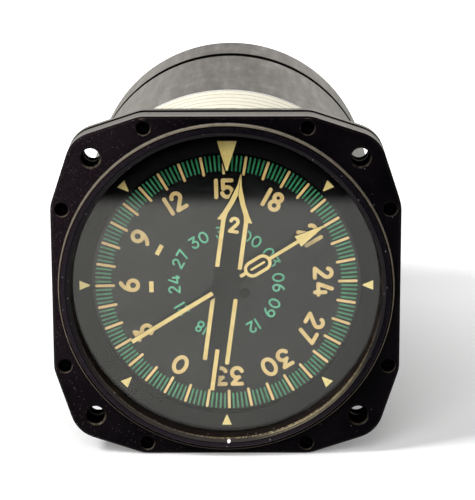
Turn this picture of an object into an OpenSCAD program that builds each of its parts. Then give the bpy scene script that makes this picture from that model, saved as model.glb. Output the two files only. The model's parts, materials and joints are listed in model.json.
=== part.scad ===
// Radio magnetic indicator for an aircraft panel: a turning compass card, a
// single-bar pointer and a double-bar pointer behind one flat glass.
// X is to the right, Y runs back from the panel's mounting plane, Z is up.
// Clock angles are in degrees clockwise from the top, as seen from the front.

/* [Panel interface] */
// Diameter of the round case body
case_d = 78.2; // [77.6:0.1:98]
// Diameter of the four mounting holes
mount_hole_d = 4.4; // [3.6:0.1:5.4]
// Metal left between the case body and a mounting hole
mount_hole_land = 3.15; // [2.8:0.05:4.5]
// How far the flange's four flats stand out from the case body
flange_margin = 2.0; // [1.8:0.1:5]
// Half length of each flat
flat_half = 20; // [16.5:0.1:24]
// Slope of the edges beside the flats, in degrees
edge_slope = 18.3; // [14:0.1:20]
// Radius that rounds the flange's corners
corner_r = 8; // [5:0.5:9]
// Size of the small bevel round the flange's edges
edge_bevel = 0.5; // [0.3:0.1:0.8]

/* [Bezel and window] */
// Thickness of the bezel plate
bezel_t = 6.4; // [5.8:0.1:8]
// Thickness of the gasket behind the bezel
gasket_t = 1.3; // [0.8:0.1:2]
// Height of the raised rim round the window
rim_h = 2.0; // [1:0.1:2.6]
// How far the rim stands out from the case body
rim_margin = 0.4; // [0.2:0.1:1.4]
// Wall of the rim
rim_wall = 0.7; // [0.5:0.1:1.4]
// Radial width of the ring that holds the glass
ring_w = 2.5; // [2:0.1:3.2]
// Depth of the glass behind the bezel plate's face
glass_inset = 1.6; // [1.2:0.1:2]
// Thickness of the glass
glass_t = 1.5; // [1.2:0.1:1.8]
// Thickness of the seal behind the glass
glass_seal_t = 0.3; // [0.2:0.05:0.6]
// Diameter of the sunk holes for the bezel screws
screw_hole_d = 3.2; // [2.6:0.1:3.9]
// Distance of the bezel screws outside the rim
bezel_screw_gap = 3.4; // [2.8:0.1:4.1]

/* [Dial] */
// Visible width of the fixed mask
mask_face_w = 4.4; // [4:0.1:6]
// Thickness of the mask
mask_t = 0.7; // [0.5:0.1:0.9]
// How far the mask hides the card's edge
card_under_mask = 1.1; // [0.8:0.1:2]
// Thickness of the compass card
card_t = 0.8; // [0.6:0.1:1.2]
// Length of the top index, in from the mask's edge
index_len = 4.25; // [3:0.05:6]
// Gap between the index and the tips of the pointers
tip_gap = 0.45; // [0.3:0.05:2]
// Thickness of the pointers
pointer_t = 0.3; // [0.2:0.05:0.35]
// Distance between the double pointer's two bars, centre to centre
bar_pitch = 5.4; // [4.5:0.1:6.5]
// Width of the double pointer's bars
bar_w = 1.1; // [0.8:0.05:1.3]
// Length of the single pointer's arrowhead
arrow_len = 7.2; // [5:0.1:9]
// Length of the double pointer's arrowhead
double_arrow_len = 11; // [9:0.1:13]
// Rest heading of the single-bar pointer, as a clock angle
pointer_1_at = 58.1; // [0:0.1:360]
// Rest heading of the double-bar pointer, as a clock angle
pointer_2_at = 7.65; // [0:0.05:360]

/* [Case and cover] */
// Thickness of the case's own flange
flange_t = 3.2; // [2.4:0.1:4]
// Length of the case behind the mounting plane
case_len = 91.8; // [88:0.1:120]
// Wall of the case body
case_wall = 1.6; // [1.2:0.1:2.2]
// Length of the rear cover
cover_len = 24.8; // [20:0.1:36]
// Wall of the rear cover
cover_wall = 2.8; // [2.6:0.1:3.4]
// Thickness of the rear cover's end
cover_end_t = 2.4; // [2:0.1:3.4]
// Gap of the seam between case and cover
seam_t = 0.9; // [0.6:0.1:1.4]
// Radius of the rounding at the cover's rear edge
cover_round = 2.6; // [1.5:0.1:4]

/* [Mechanism] */
// Gear module, the pitch diameter of one tooth
gear_module = 0.5; // [0.42:0.01:0.6]
// Teeth of the idler's pinion, which meets the card's drive gear
idler_pinion_teeth = 16; // [13:1:19]
// Teeth of the idler's gear, which meets the motor's pinion
idler_gear_teeth = 32; // [27:1:38]
// Teeth of the motor's pinion
motor_teeth = 12; // [10:1:14]
// Clock angle of the idler, seen from the axis
idler_clock = 60; // [50:1:70]
// Radius of the two pointer synchros
synchro_r = 13.2; // [11:0.1:15.8]
// Length of each pointer synchro
synchro_len = 30; // [25:1:34]
// Radius of the motor and the card's synchro
small_unit_r = 9.5; // [7.9:0.1:10.6]
// Length of the motor and the card's synchro
small_unit_len = 27; // [22:1:34]
// Thickness of the mechanism's plates
plate_t = 2.0; // [1.6:0.1:2.6]
// Space between the front plate and the gear plate
gear_space = 8.0; // [7.6:0.1:10]
// Radius of the posts that join the plates
post_r = 1.8; // [1.5:0.1:2.2]
// Distance of the posts from the axis
post_at = 30.5; // [26:0.1:31.5]

/* [Connector] */
// Radius of the connector's threaded shell
shell_r = 15.8; // [13.2:0.1:18.9]
// Length of the shell behind its flange
shell_len = 12.5; // [10:0.5:16]
// Side of the connector's square flange
connector_flange_w = 38; // [36:0.5:46]
// Radius of a contact pin
pin_r = 0.8; // [0.6:0.05:0.9]

/* [Hidden] */
$fn = 64;

// Fits: seated pieces, turning pieces, and pieces that only pass each other
seat_gap = 0.02;
run_gap = 0.06;
free_gap = 0.3;
pass_gap = 0.15;
cut = 1;

// Screws of the inside and the back: shank radius, head radius and head height
screw_r = 0.9;
head_r = 1.65;
head_h = 1.1;

// Radii that follow the case
case_r = case_d / 2;
case_in_r = case_r - case_wall;
flange_half = case_r + flange_margin;
slant_d = flat_half * sin(edge_slope) + flange_half * cos(edge_slope);
hole_half = (case_r + mount_hole_land + mount_hole_d / 2) / sqrt(2);
rim_r = case_r + rim_margin;
pocket_r = rim_r - rim_wall;
window_r = pocket_r - ring_w;
mask_in_r = window_r - mask_face_w;
card_r = mask_in_r + card_under_mask;
pointer_r = mask_in_r - index_len - tip_gap;
bezel_screw_r = 0.85;
bezel_screw_head_h = 1.5;
bezel_screw_depth = 3.2;
bezel_screw_at = rim_r + bezel_screw_gap;
bezel_screw_clock = 26.4;
front_plate_r = case_in_r + 0.6;
lug_in_r = case_in_r - 3.1;
lug_w = 8;
lug_len = 7;
lug_clocks = [0, 120, 240];
lug_screw_at = case_in_r - 1.6;
inner_plate_r = lug_in_r - 0.2;
cover_in_r = case_r - cover_wall;

// Depths, from the mounting plane forward
flange_y = -flange_t;
bezel_back = flange_y - gasket_t;
front_y = bezel_back - bezel_t;
rim_y = front_y - rim_h;
glass_y = front_y + glass_inset;
glass_back = glass_y + glass_t;
mask_y = glass_back + glass_seal_t;
mask_back = mask_y + mask_t;
pointer_1_y = glass_back + 0.45;
pointer_2_y = pointer_1_y + pointer_t + 0.3;
pointer_2_back = pointer_2_y + pointer_t;
card_y = pointer_2_back + 0.55;

// Depths of the mechanism
front_plate_y = flange_y;
front_plate_back = front_plate_y + plate_t;
gear_plate_y = front_plate_back + gear_space;
gear_plate_back = gear_plate_y + plate_t;
drive_y = front_plate_back + 1.6;
drive_t = 1.6;
repeater_y = drive_y + drive_t + 1.2;
repeater_t = 1.6;
bearing_t = 2.4;
adapter_t = 4.0;
front_synchro_y = gear_plate_back + adapter_t;
front_synchro_back = front_synchro_y + synchro_len;
hub_end = gear_plate_y + bearing_t;
rear_plate_y = case_len - 8;
rear_plate_back = rear_plate_y + plate_t;
rear_synchro_y = rear_plate_y - synchro_len;
cover_back = case_len + cover_len;
board_y = rear_plate_back + 8;
board_t = 1.6;
connector_flange_t = 1.8;
shell_rim_y = cover_back + connector_flange_t + shell_len;
insert_face_y = shell_rim_y - 9.5;
insert_back = cover_back - 8;
shell_wall = 2.5;
insert_r = shell_r - shell_wall - seat_gap;
pin_circle_r = insert_r - 3.28;
pin_circle_step = 4.6;
lead_r = 0.6;

// Shafts
inner_shaft_r = 0.65;
hollow_bore_r = inner_shaft_r + 0.1;
hollow_shaft_r = 1.5;
journal_r = 3.2;
hub_bore_r = 2.0;
bearing_r = 6.0;
synchro_bearing_r = 3.4;
small_shaft_r = 1.0;
small_bearing_r = 2.2;
rotor_r = 6.9;
stator_in_r = rotor_r + free_gap;
synchro_wall = 1.2;
synchro_lip = 4;
slot_r = 1.05;
back_iron = 1.6;
stator_out_r = synchro_r - synchro_wall - seat_gap;

// Gears of the card and its synchro: the fewest teeth that keep that synchro clear of the pointers' synchros.
// The two are equal where the case has the room for it.
unit_gap = 1.2;
wall_gap = 0.5;
tooth_top = 0.8 * gear_module;
tooth_root = 1.1 * gear_module;
card_synchro_steps = ceil((small_unit_r + synchro_r + unit_gap) / gear_module);
card_synchro_at = gear_module * card_synchro_steps;
card_synchro_room = case_in_r - wall_gap - tooth_top - card_synchro_at;
card_synchro_teeth = min(card_synchro_steps, floor(2 * card_synchro_room / gear_module));
repeater_teeth = 2 * card_synchro_steps - card_synchro_teeth;
repeater_pitch_r = gear_module * repeater_teeth / 2;

// Teeth of the card's drive gear: the fewest that hold the idler's gear clear of the repeater gear
gear_gap = 1.1;
idler_reach = repeater_pitch_r + gear_module * idler_gear_teeth / 2 + 2 * tooth_top + gear_gap;
drive_teeth = ceil(2 * idler_reach / gear_module) - idler_pinion_teeth;
drive_pitch_r = gear_module * drive_teeth / 2;

// Gear centres: distance from the main axis and clock angle
idler_at = drive_pitch_r + gear_module * idler_pinion_teeth / 2;
motor_reach = gear_module * (idler_gear_teeth + motor_teeth) / 2;
motor_at = small_unit_r + synchro_r + unit_gap + 0.6;
motor_turn = acos((idler_at ^ 2 + motor_at ^ 2 - motor_reach ^ 2) / (2 * idler_at * motor_at));
motor_clock = idler_clock + motor_turn;
card_synchro_clock = 180;
card_screw_clocks = [117.7, 237.7, 357.7];
card_screw_at = 5;
card_screw_r = 0.53;
post_clocks = [20, 140, 220, 300];
standoff_clocks = [0, 90, 180, 270];
standoff_at = case_in_r - 7;
standoff_r = 2.4;
connector_screw_half = connector_flange_w / 2 - 4.3;

// A point at a distance and clock angle, in the front view
function at(r, clock) = [r * sin(clock), r * cos(clock)];

// Where two edges cross, each given by its normal's angle and its distance
function crossing(a, d, b, e) =
    [(d * sin(b) - e * sin(a)) / sin(b - a), (e * cos(a) - d * cos(b)) / sin(b - a)];

// Points of a rounded corner between two edges
function corner(a, d, b, e, r, steps = 6) = [
    for (i = [0:steps]) let(t = a + (b - a) * i / steps)
        crossing(a, d - r, b, e - r) + r * [cos(t), sin(t)]
];

// Outline of the flange, drawn in by inset
function flange_points(inset = 0) =
    let(flat = flange_half - inset, slant = slant_d - inset, s = edge_slope, r = corner_r - inset)
    [for (q = [0:90:270]) each concat(
        corner(q, flat, q + s, slant, r, 4),
        corner(q + s, slant, q + 90 - s, slant, r, 8),
        corner(q + 90 - s, slant, q + 90, flat, r, 4)
    )];

// Involute of the roll angle, in degrees
function inv(a) = tan(a) * 180 / PI - a;

// Half the angle of a tooth at a radius, thinned a little for backlash
function tooth_half(n, r) =
    let(pitch_r = gear_module * n / 2, base_r = pitch_r * cos(20))
    90 / n * 0.93 + inv(20) - inv(acos(min(1, base_r / max(r, base_r))));

// Outline of a spur gear with its first tooth at plain angle phase
function gear_points(n, phase) =
    let(
        pitch_r = gear_module * n / 2,
        root_r = pitch_r - tooth_root,
        tip_r = pitch_r + tooth_top,
        flank = [root_r, pitch_r - 0.35 * gear_module, pitch_r + 0.3 * gear_module, tip_r]
    )
    [for (i = [0:n - 1]) let(mid = phase + 360 * i / n) each concat(
        [for (r = flank) let(a = mid - tooth_half(n, r)) r * [cos(a), sin(a)]],
        [for (k = [3:-1:0]) let(a = mid + tooth_half(n, flank[k])) flank[k] * [cos(a), sin(a)]]
    )];

// Phase that puts gear b in mesh with gear a along the plain angle from a to b
function mesh_phase(theta, phase_a, n_a, n_b) =
    theta + 180 + 180 / n_b + (theta - phase_a) * n_a / n_b;

// Plain angle from one centre to another
function heading(from, to) = atan2(to[1] - from[1], to[0] - from[0]);

idler_point = at(idler_at, idler_clock);
motor_point = at(motor_at, motor_clock);
card_synchro_point = at(card_synchro_at, card_synchro_clock);
idler_pinion_phase = mesh_phase(heading([0, 0], idler_point), 0, drive_teeth, idler_pinion_teeth);
motor_phase =
    mesh_phase(heading(idler_point, motor_point), idler_pinion_phase, idler_gear_teeth, motor_teeth);
card_synchro_phase = mesh_phase(heading([0, 0], card_synchro_point), 0, repeater_teeth, card_synchro_teeth);

// A flat piece drawn in the front view, from depth y to y + t
module plate(y, t) {
    translate([0, y + t, 0]) rotate([90, 0, 0]) linear_extrude(t) children();
}

// A turned piece round the main axis; children are drawn as [radius, depth]
module turned() {
    rotate([-90, 0, 0]) rotate_extrude() children();
}

// A plain ring or disc round the main axis
module ring(r, bore, y0, y1) {
    turned() translate([bore, y0]) square([r - bore, y1 - y0]);
}

// A round bar along Y at a point of the front view
module rod(r, y0, y1, p = [0, 0]) {
    translate([p[0], y0, p[1]]) rotate([-90, 0, 0]) cylinder(r = r, h = y1 - y0);
}

// A ring round a point of the front view
module collar(r, bore, y0, y1, p = [0, 0]) {
    difference() {
        rod(r, y0, y1, p);
        rod(bore, y0 - cut, y1 + cut, p);
    }
}

// Turned piece round a point of the front view
module turned_at(p) {
    translate([p[0], 0, p[1]]) turned() children();
}

// A slotted screw head facing forward
module slotted_head(r, y, h, p, turn = 30) {
    difference() {
        rod(r, y, y + h, p);
        translate([p[0], y, p[1]]) rotate([0, turn, 0]) cube([2 * r + 1, h, r * 0.3], center = true);
    }
}

// The same head facing backward
module slotted_head_back(r, y, h, p, turn) {
    difference() {
        rod(r, y, y + h, p);
        translate([p[0], y + h, p[1]]) rotate([0, turn, 0]) cube([2 * r + 1, h, r * 0.3], center = true);
    }
}

// The flange's body with bevelled edges on the faces named
module flange_body(y, t, front_bevel, back_bevel) {
    hull() {
        plate(y, t - back_bevel) polygon(flange_points(front_bevel));
        plate(y + front_bevel, t - front_bevel - back_bevel) polygon(flange_points());
        plate(y + front_bevel, t - front_bevel) polygon(flange_points(back_bevel));
    }
}

module mount_holes(y0, y1) {
    for (x = [-1, 1], z = [-1, 1]) rod(mount_hole_d / 2, y0, y1, [x * hole_half, z * hole_half]);
}

// A bevelled mouth of a hole in a face that looks forward
module hole_mouth(r, bevel, y, p) {
    turned_at(p) polygon([
        [0, y - 0.01], [r + bevel, y - 0.01], [r - 0.05, y + bevel + 0.05], [0, y + bevel + 0.05]
    ]);
}

module mount_hole_mouths(y) {
    for (x = [-1, 1], z = [-1, 1]) hole_mouth(mount_hole_d / 2, 0.4, y, [x * hole_half, z * hole_half]);
}

function bezel_screw_points() = [
    for (q = [0:3], s = [-1, 1]) at(bezel_screw_at, 90 * q + s * bezel_screw_clock)
];

module bezel() {
    chamfer = 0.25;
    draft = 0.2;
    color([0.05, 0.05, 0.055]) difference() {
        union() {
            flange_body(front_y, bezel_t, edge_bevel, 0.35);
            // The raised rim, slightly drafted, with a bevelled outer edge
            turned() polygon([
                [pocket_r - 1, rim_y], [rim_r - chamfer, rim_y], [rim_r, rim_y + chamfer],
                [rim_r + draft, front_y], [rim_r + draft, front_y + 1], [pocket_r - 1, front_y + 1]
            ]);
        }
        rod(pocket_r, rim_y - cut, mask_back);
        rod(window_r + 0.2, mask_back - cut, bezel_back + cut);
        mount_holes(front_y - cut, bezel_back + cut);
        mount_hole_mouths(front_y);
        for (p = bezel_screw_points()) {
            rod(screw_hole_d / 2, front_y - cut, front_y + bezel_screw_depth + bezel_screw_head_h, p);
            rod(bezel_screw_r + pass_gap, front_y, bezel_back + cut, p);
            hole_mouth(screw_hole_d / 2, 0.25, front_y, p);
        }
    }
}

module bezel_gasket() {
    color([0.08, 0.07, 0.07]) difference() {
        plate(bezel_back, gasket_t) polygon(flange_points(0.9));
        rod(front_plate_r + 0.4, bezel_back - cut, flange_y + cut);
        mount_holes(bezel_back - cut, flange_y + cut);
        for (p = bezel_screw_points()) rod(bezel_screw_r + pass_gap, bezel_back - cut, flange_y + cut, p);
    }
}

module bezel_screws() {
    color([0.16, 0.16, 0.17]) for (p = bezel_screw_points()) {
        slotted_head(screw_hole_d / 2 - pass_gap, front_y + bezel_screw_depth, bezel_screw_head_h, p);
        rod(bezel_screw_r, front_y + bezel_screw_depth + bezel_screw_head_h, -0.6, p);
    }
}

// The ring pressed in over the glass: a flat face, a bevel and a slightly tapered bore
module glass_retaining_ring() {
    face_w = 1.0;
    bevel_w = 1.0;
    bevel_h = 0.75;
    face_y = rim_y + 0.05;
    r = pocket_r - seat_gap;
    color([0.06, 0.06, 0.06]) turned() polygon([
        [r, face_y], [r - face_w, face_y], [r - face_w - bevel_w, face_y + bevel_h],
        [window_r, glass_y], [r, glass_y]
    ]);
}

module glass() {
    r = pocket_r - 0.1;
    edge = 0.3;
    color([0.85, 0.9, 0.9, 0.3]) turned() polygon([
        [0, glass_y], [r - edge, glass_y], [r, glass_y + edge], [r, glass_back], [0, glass_back]
    ]);
}

module glass_seal() {
    color([0.1, 0.1, 0.1]) ring(pocket_r - 0.1, window_r + 0.3, glass_back, mask_y);
}

module mask_ring() {
    tab_w = 5.1;
    neck_w = 3;
    tip_w = 0.5;
    root = mask_in_r + 1.2;
    color([0.1, 0.1, 0.1]) {
        ring(pocket_r - 0.2, mask_in_r, mask_y, mask_back);
        // The top index's tab, which reaches in over the card's edge
        plate(mask_y, mask_t) polygon([
            [-tab_w / 2, root], [-neck_w / 2, mask_in_r - 0.2], [-tip_w / 2, mask_in_r - index_len],
            [tip_w / 2, mask_in_r - index_len], [neck_w / 2, mask_in_r - 0.2], [tab_w / 2, root]
        ]);
    }
}

// The three ears inside the case that the mechanism's front plate screws to
module case_lugs() {
    for (c = lug_clocks) difference() {
        intersection() {
            ring(case_in_r + 0.5, lug_in_r, front_plate_back, front_plate_back + lug_len);
            translate([0, front_plate_back, 0]) rotate([0, c, 0])
                translate([-lug_w / 2, 0, lug_in_r - 2]) cube([lug_w, lug_len, 8]);
        }
        rod(screw_r, front_plate_back - cut, front_plate_back + 5, at(lug_screw_at, c));
    }
}

module case() {
    end_y = case_len - seam_t / 2;
    end_bevel = 0.45;
    blend = 0.8;
    seat_r = front_plate_r + 0.1;
    color([0.23, 0.22, 0.21]) difference() {
        union() {
            flange_body(flange_y, flange_t, 0.35, 0.35);
            // The round body, with a bevel at its end and a blend where it meets the flange
            turned() polygon([
                [case_r - 1, -1], [case_r + blend, -1], [case_r + blend, 0], [case_r + blend / 4, blend / 3],
                [case_r, blend], [case_r, end_y - end_bevel], [case_r - end_bevel, end_y], [case_r - 1, end_y]
            ]);
            rod(case_r - 0.5, flange_y + 0.5, end_y);
        }
        turned() polygon([
            [0, flange_y - cut], [seat_r, flange_y - cut], [seat_r, front_plate_back],
            [case_in_r, front_plate_back], [case_in_r, case_len + cut], [0, case_len + cut]
        ]);
        mount_holes(flange_y - cut, cut);
        for (p = bezel_screw_points()) rod(bezel_screw_r + seat_gap, flange_y - cut, cut, p);
    }
    color([0.23, 0.22, 0.21]) case_lugs();
}

// A thin curved plate round the top of the body
module label_plate() {
    first = 31;
    sweep = 66;
    thickness = 0.14;
    color([0.9, 0.87, 0.75]) rotate([-90, 0, 0]) rotate([0, 0, first - 90 - sweep])
        rotate_extrude(angle = sweep) translate([case_r + seat_gap, 4]) square([thickness, 31]);
}

module cover_seal() {
    sunk = 0.75;
    color([0.08, 0.08, 0.08])
        ring(case_r - sunk, case_in_r + 0.05, case_len - seam_t / 2, case_len + seam_t / 2);
}

module rear_cover() {
    y0 = case_len + seam_t / 2;
    end_r = case_r - 0.15;
    spigot_len = 3.5;
    sink = 1.2;
    steps = 6;
    round_at = [end_r - cover_round, cover_back - cover_round];
    color([0.2, 0.19, 0.18]) difference() {
        union() {
            turned() polygon(concat(
                [[0, y0], [case_r - 0.45, y0], [case_r, y0 + 0.5], [case_r, y0 + 6]],
                [for (i = [0:steps]) let(t = 90 * i / steps) round_at + cover_round * [cos(t), sin(t)]],
                [[0, cover_back]]
            ));
            rod(case_in_r - 0.1, y0 - spigot_len, y0 + 1);
        }
        rod(cover_in_r, y0 - spigot_len - cut, cover_back - cover_end_t);
        rod(shell_r - 1.2, case_len, cover_back + cut);
        for (c = standoff_clocks) {
            rod(screw_r + pass_gap, case_len, cover_back + cut, at(standoff_at, c));
            turned_at(at(standoff_at, c)) polygon([
                [0, cover_back - sink], [screw_r + 0.1, cover_back - sink],
                [screw_r + 0.1 + sink, cover_back + 0.01], [0, cover_back + 0.01]
            ]);
        }
        for (p = connector_screw_points())
            rod(screw_r + seat_gap, cover_back - cover_end_t - cut, cover_back + cut, p);
    }
}

module rear_cover_screws() {
    head_back = cover_back - 0.08;
    color([0.6, 0.6, 0.58]) for (c = standoff_clocks) let(p = at(standoff_at, c)) difference() {
        turned_at(p) polygon([
            [0, head_back - 6.4], [screw_r, head_back - 6.4], [screw_r, head_back - 1.1],
            [screw_r + 1.1, head_back], [0, head_back]
        ]);
        translate([p[0], cover_back, p[1]]) rotate([0, 40 + c, 0]) cube([6, 1.2, 0.5], center = true);
    }
}

module cover_standoffs() {
    color([0.72, 0.72, 0.7]) for (c = standoff_clocks)
        collar(standoff_r, screw_r + seat_gap, rear_plate_back, cover_back - cover_end_t, at(standoff_at, c));
}

module connector_shell() {
    key_w = 2.4;
    key_h = 1.0;
    thread_relief = 0.7;
    color([0.55, 0.56, 0.5]) difference() {
        union() {
            translate([-connector_flange_w / 2, cover_back, -connector_flange_w / 2])
                cube([connector_flange_w, connector_flange_t, connector_flange_w]);
            rod(shell_r, cover_back + 1, shell_rim_y);
            rod(shell_r - 1.3, cover_back - 4, cover_back + 2);
        }
        rod(shell_r - shell_wall, cover_back - 4 - cut, shell_rim_y + cut);
        // Thread relief behind the shell's coupling thread
        difference() {
            rod(shell_r + cut, cover_back + connector_flange_t, cover_back + connector_flange_t + 1.6);
            rod(shell_r - thread_relief, cover_back, cover_back + connector_flange_t + 2);
        }
        for (p = connector_screw_points())
            rod(screw_r + free_gap, cover_back - cut, shell_rim_y, p);
    }
    // The key that the plug's groove slides over
    color([0.55, 0.56, 0.5]) translate([-key_w / 2, insert_face_y + 0.5, shell_r - shell_wall - key_h])
        cube([key_w, shell_rim_y - insert_face_y - 1.5, key_h + 0.6]);
}

module connector_insert() {
    color([0.12, 0.14, 0.2]) difference() {
        rod(insert_r, insert_back, insert_face_y);
        for (p = pin_points()) rod(pin_r + seat_gap, insert_back - cut, insert_face_y + cut, p);
    }
}

function connector_screw_points() = [for (x = [-1, 1], z = [-1, 1]) connector_screw_half * [x, z]];

// Twelve contacts in the outer circle and six in the inner one
function pin_points() = concat(
    [for (i = [0:11]) at(pin_circle_r, 30 * i + 15)],
    [for (i = [0:5]) at(pin_circle_r - pin_circle_step, 60 * i)]
);

module connector_pins() {
    color([0.83, 0.7, 0.35]) for (p = pin_points()) {
        rod(pin_r, insert_back - 2, shell_rim_y - 2, p);
        translate([p[0], shell_rim_y - 2, p[1]]) sphere(r = pin_r, $fn = 24);
    }
}

module connector_screws() {
    y = cover_back + connector_flange_t;
    top = y + 1.2;
    color([0.6, 0.6, 0.58]) for (p = connector_screw_points()) {
        rod(screw_r, cover_back - 3.4, y + 0.2, p);
        difference() {
            turned_at(p) polygon([[0, y], [head_r, y], [head_r, y + 0.6], [head_r - 0.5, top], [0, top]]);
            translate([p[0], top, p[1]]) rotate([0, p[0] + 2 * p[1], 0]) cube([5, 1, 0.45], center = true);
        }
    }
}

module connector_leads() {
    color([0.75, 0.72, 0.6]) for (p = pin_points())
        rod(lead_r, board_y - 1.4, insert_back - 2, p);
}

module terminal_board() {
    color([0.45, 0.26, 0.12]) difference() {
        rod(standoff_at + 4, board_y, board_y + board_t);
        for (p = pin_points()) rod(lead_r + seat_gap, board_y - cut, board_y + board_t + cut, p);
        for (c = standoff_clocks)
            rod(standoff_r + seat_gap, board_y - cut, board_y + board_t + cut, at(standoff_at, c));
        for (c = [0, 90, 180, 270]) rod(4, board_y - cut, board_y + board_t + cut, at(20, c));
    }
}

module front_plate() {
    color([0.72, 0.73, 0.72]) difference() {
        rod(front_plate_r, front_plate_y, front_plate_back);
        rod(bearing_r + seat_gap, front_plate_y - cut, front_plate_back + cut);
        for (c = lug_clocks) {
            rod(screw_r + pass_gap, front_plate_y - cut, front_plate_back + cut, at(lug_screw_at, c));
            rod(head_r + pass_gap, front_plate_y - cut, front_plate_y + head_h, at(lug_screw_at, c));
        }
        for (c = post_clocks) rod(screw_r + 0.1, front_plate_y - cut, front_plate_back + cut, at(post_at, c));
        rod(small_bearing_r + seat_gap, front_plate_y - cut, front_plate_back + cut, idler_point);
        // Lightening holes
        for (c = [110, 180, 250, 340]) rod(6, front_plate_y - cut, front_plate_back + cut, at(20, c));
    }
}

module front_plate_screws() {
    color([0.5, 0.5, 0.5]) for (c = lug_clocks) {
        slotted_head(head_r, front_plate_y + 0.05, head_h - 0.05, at(lug_screw_at, c), 50 + c);
        rod(screw_r - seat_gap, front_plate_y + head_h - 0.05, front_plate_back + 4.5, at(lug_screw_at, c));
    }
}

module gear_plate() {
    color([0.72, 0.73, 0.72]) difference() {
        rod(inner_plate_r, gear_plate_y, gear_plate_back);
        rod(bearing_r + seat_gap, gear_plate_y - cut, gear_plate_back + cut);
        for (c = post_clocks) rod(screw_r + 0.1, gear_plate_y - cut, gear_plate_back + cut, at(post_at, c));
        rod(small_bearing_r + seat_gap, gear_plate_y - cut, gear_plate_back + cut, idler_point);
        rod(small_bearing_r + seat_gap, gear_plate_y - cut, gear_plate_back + cut, motor_point);
        rod(small_bearing_r + seat_gap, gear_plate_y - cut, gear_plate_back + cut, card_synchro_point);
    }
}

module gear_posts() {
    color([0.75, 0.68, 0.42]) for (c = post_clocks) {
        rod(post_r, front_plate_back, gear_plate_y, at(post_at, c));
        rod(screw_r, front_plate_y + 0.1, gear_plate_back + 3, at(post_at, c));
    }
}

module rear_plate() {
    color([0.72, 0.73, 0.72]) difference() {
        rod(inner_plate_r, rear_plate_y, rear_plate_back);
        rod(synchro_r - synchro_lip, rear_plate_y - cut, rear_plate_back + cut);
        for (c = post_clocks) rod(screw_r + 0.1, rear_plate_y - cut, rear_plate_back + cut, at(post_at, c));
        // Lightening holes, away from the posts
        for (c = [80, 180, 260, 340]) rod(4.5, rear_plate_y - cut, rear_plate_back + cut, at(20, c));
    }
}

module frame_posts() {
    color([0.75, 0.68, 0.42]) for (c = post_clocks) difference() {
        rod(post_r + 0.3, gear_plate_back, rear_plate_y, at(post_at, c));
        rod(screw_r + seat_gap, gear_plate_back - cut, gear_plate_back + 3.5, at(post_at, c));
        rod(screw_r + seat_gap, rear_plate_y - 5, rear_plate_y + cut, at(post_at, c));
    }
}

module frame_screws() {
    color([0.5, 0.5, 0.5]) for (c = post_clocks) {
        rod(screw_r, rear_plate_y - 4.5, rear_plate_back + 0.3, at(post_at, c));
        slotted_head_back(head_r, rear_plate_back, head_h, at(post_at, c), 20 + c);
    }
}

module synchro_adapter() {
    color([0.6, 0.6, 0.6]) difference() {
        ring(synchro_r, synchro_r - synchro_lip, gear_plate_back, front_synchro_y);
        for (c = [0, 120, 240])
            rod(1.2, gear_plate_back - cut, front_synchro_y + cut, at(synchro_r - synchro_lip / 2, c));
    }
}

module card_bearings() {
    color([0.7, 0.7, 0.72]) for (y = [front_plate_y - 0.2, gear_plate_y - 0.2])
        turned() difference() {
            translate([journal_r + run_gap, y]) square([bearing_r - journal_r - run_gap, bearing_t]);
            translate([4.2, y - 0.1]) square([0.9, 0.4]);
            translate([4.2, y + bearing_t - 0.3]) square([0.9, 0.4]);
        }
}

module synchro_bearings() {
    width = 2.2;
    fronts = [front_synchro_y, rear_synchro_y];
    color([0.7, 0.7, 0.72]) for (front = fronts, y = [front + 0.3, front + synchro_len - width - 0.4])
        ring(synchro_bearing_r, hollow_shaft_r + run_gap, y, y + width);
}

module small_bearings() {
    unit_end = gear_plate_back + small_unit_len;
    color([0.75, 0.65, 0.35]) {
        for (y = [front_plate_y + 0.1, gear_plate_y])
            collar(small_bearing_r, small_shaft_r + run_gap, y, y + 1.8, idler_point);
        for (p = [motor_point, card_synchro_point], y = [gear_plate_y + 0.1, unit_end - 2])
            collar(small_bearing_r, small_shaft_r + run_gap, y, y + 1.8, p);
    }
}

// A synchro's housing: a tube with a front wall, a clamp groove and an open rear
module synchro_case(y) {
    bore = synchro_bearing_r + seat_gap;
    inner = synchro_r - synchro_wall;
    spigot_r = synchro_r - 0.6;
    groove_r = synchro_r - 0.5;
    wall_t = 2.8;
    turned() polygon([
        [bore, y], [spigot_r, y], [spigot_r, y + 1], [synchro_r, y + 1.2],
        [synchro_r, y + 3.6], [groove_r, y + 3.6], [groove_r, y + 4.6], [synchro_r, y + 4.6],
        [synchro_r, y + synchro_len], [inner, y + synchro_len], [inner, y + wall_t], [bore, y + wall_t]
    ]);
}

module pointer_2_synchro_case() {
    color([0.62, 0.62, 0.6]) synchro_case(front_synchro_y);
}

module pointer_1_synchro_case() {
    color([0.62, 0.62, 0.6]) synchro_case(rear_synchro_y);
}

// Rear end plates of the two synchros
module synchro_end_caps() {
    color([0.5, 0.5, 0.48]) for (end = [front_synchro_back, rear_plate_y])
        ring(stator_out_r, synchro_bearing_r + seat_gap, end - 2.8, end - 0.3);
}

// Laminated stator ring with slots that open to the bore
module stator(y0, y1) {
    slots = 12;
    mouth = 0.8;
    slot_at = stator_out_r - back_iron - slot_r;
    plate(y0, y1 - y0) difference() {
        circle(r = stator_out_r);
        circle(r = stator_in_r);
        for (i = [0:slots - 1]) rotate(360 * i / slots) {
            translate([0, -mouth / 2]) square([slot_at, mouth]);
            translate([slot_at, 0]) circle(r = slot_r);
        }
    }
}

module pointer_2_stator() {
    color([0.4, 0.4, 0.43]) stator(front_synchro_y + 6, front_synchro_back - 6);
}

module pointer_1_stator() {
    color([0.4, 0.4, 0.43]) stator(rear_synchro_y + 6, rear_plate_y - 6);
}

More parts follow.
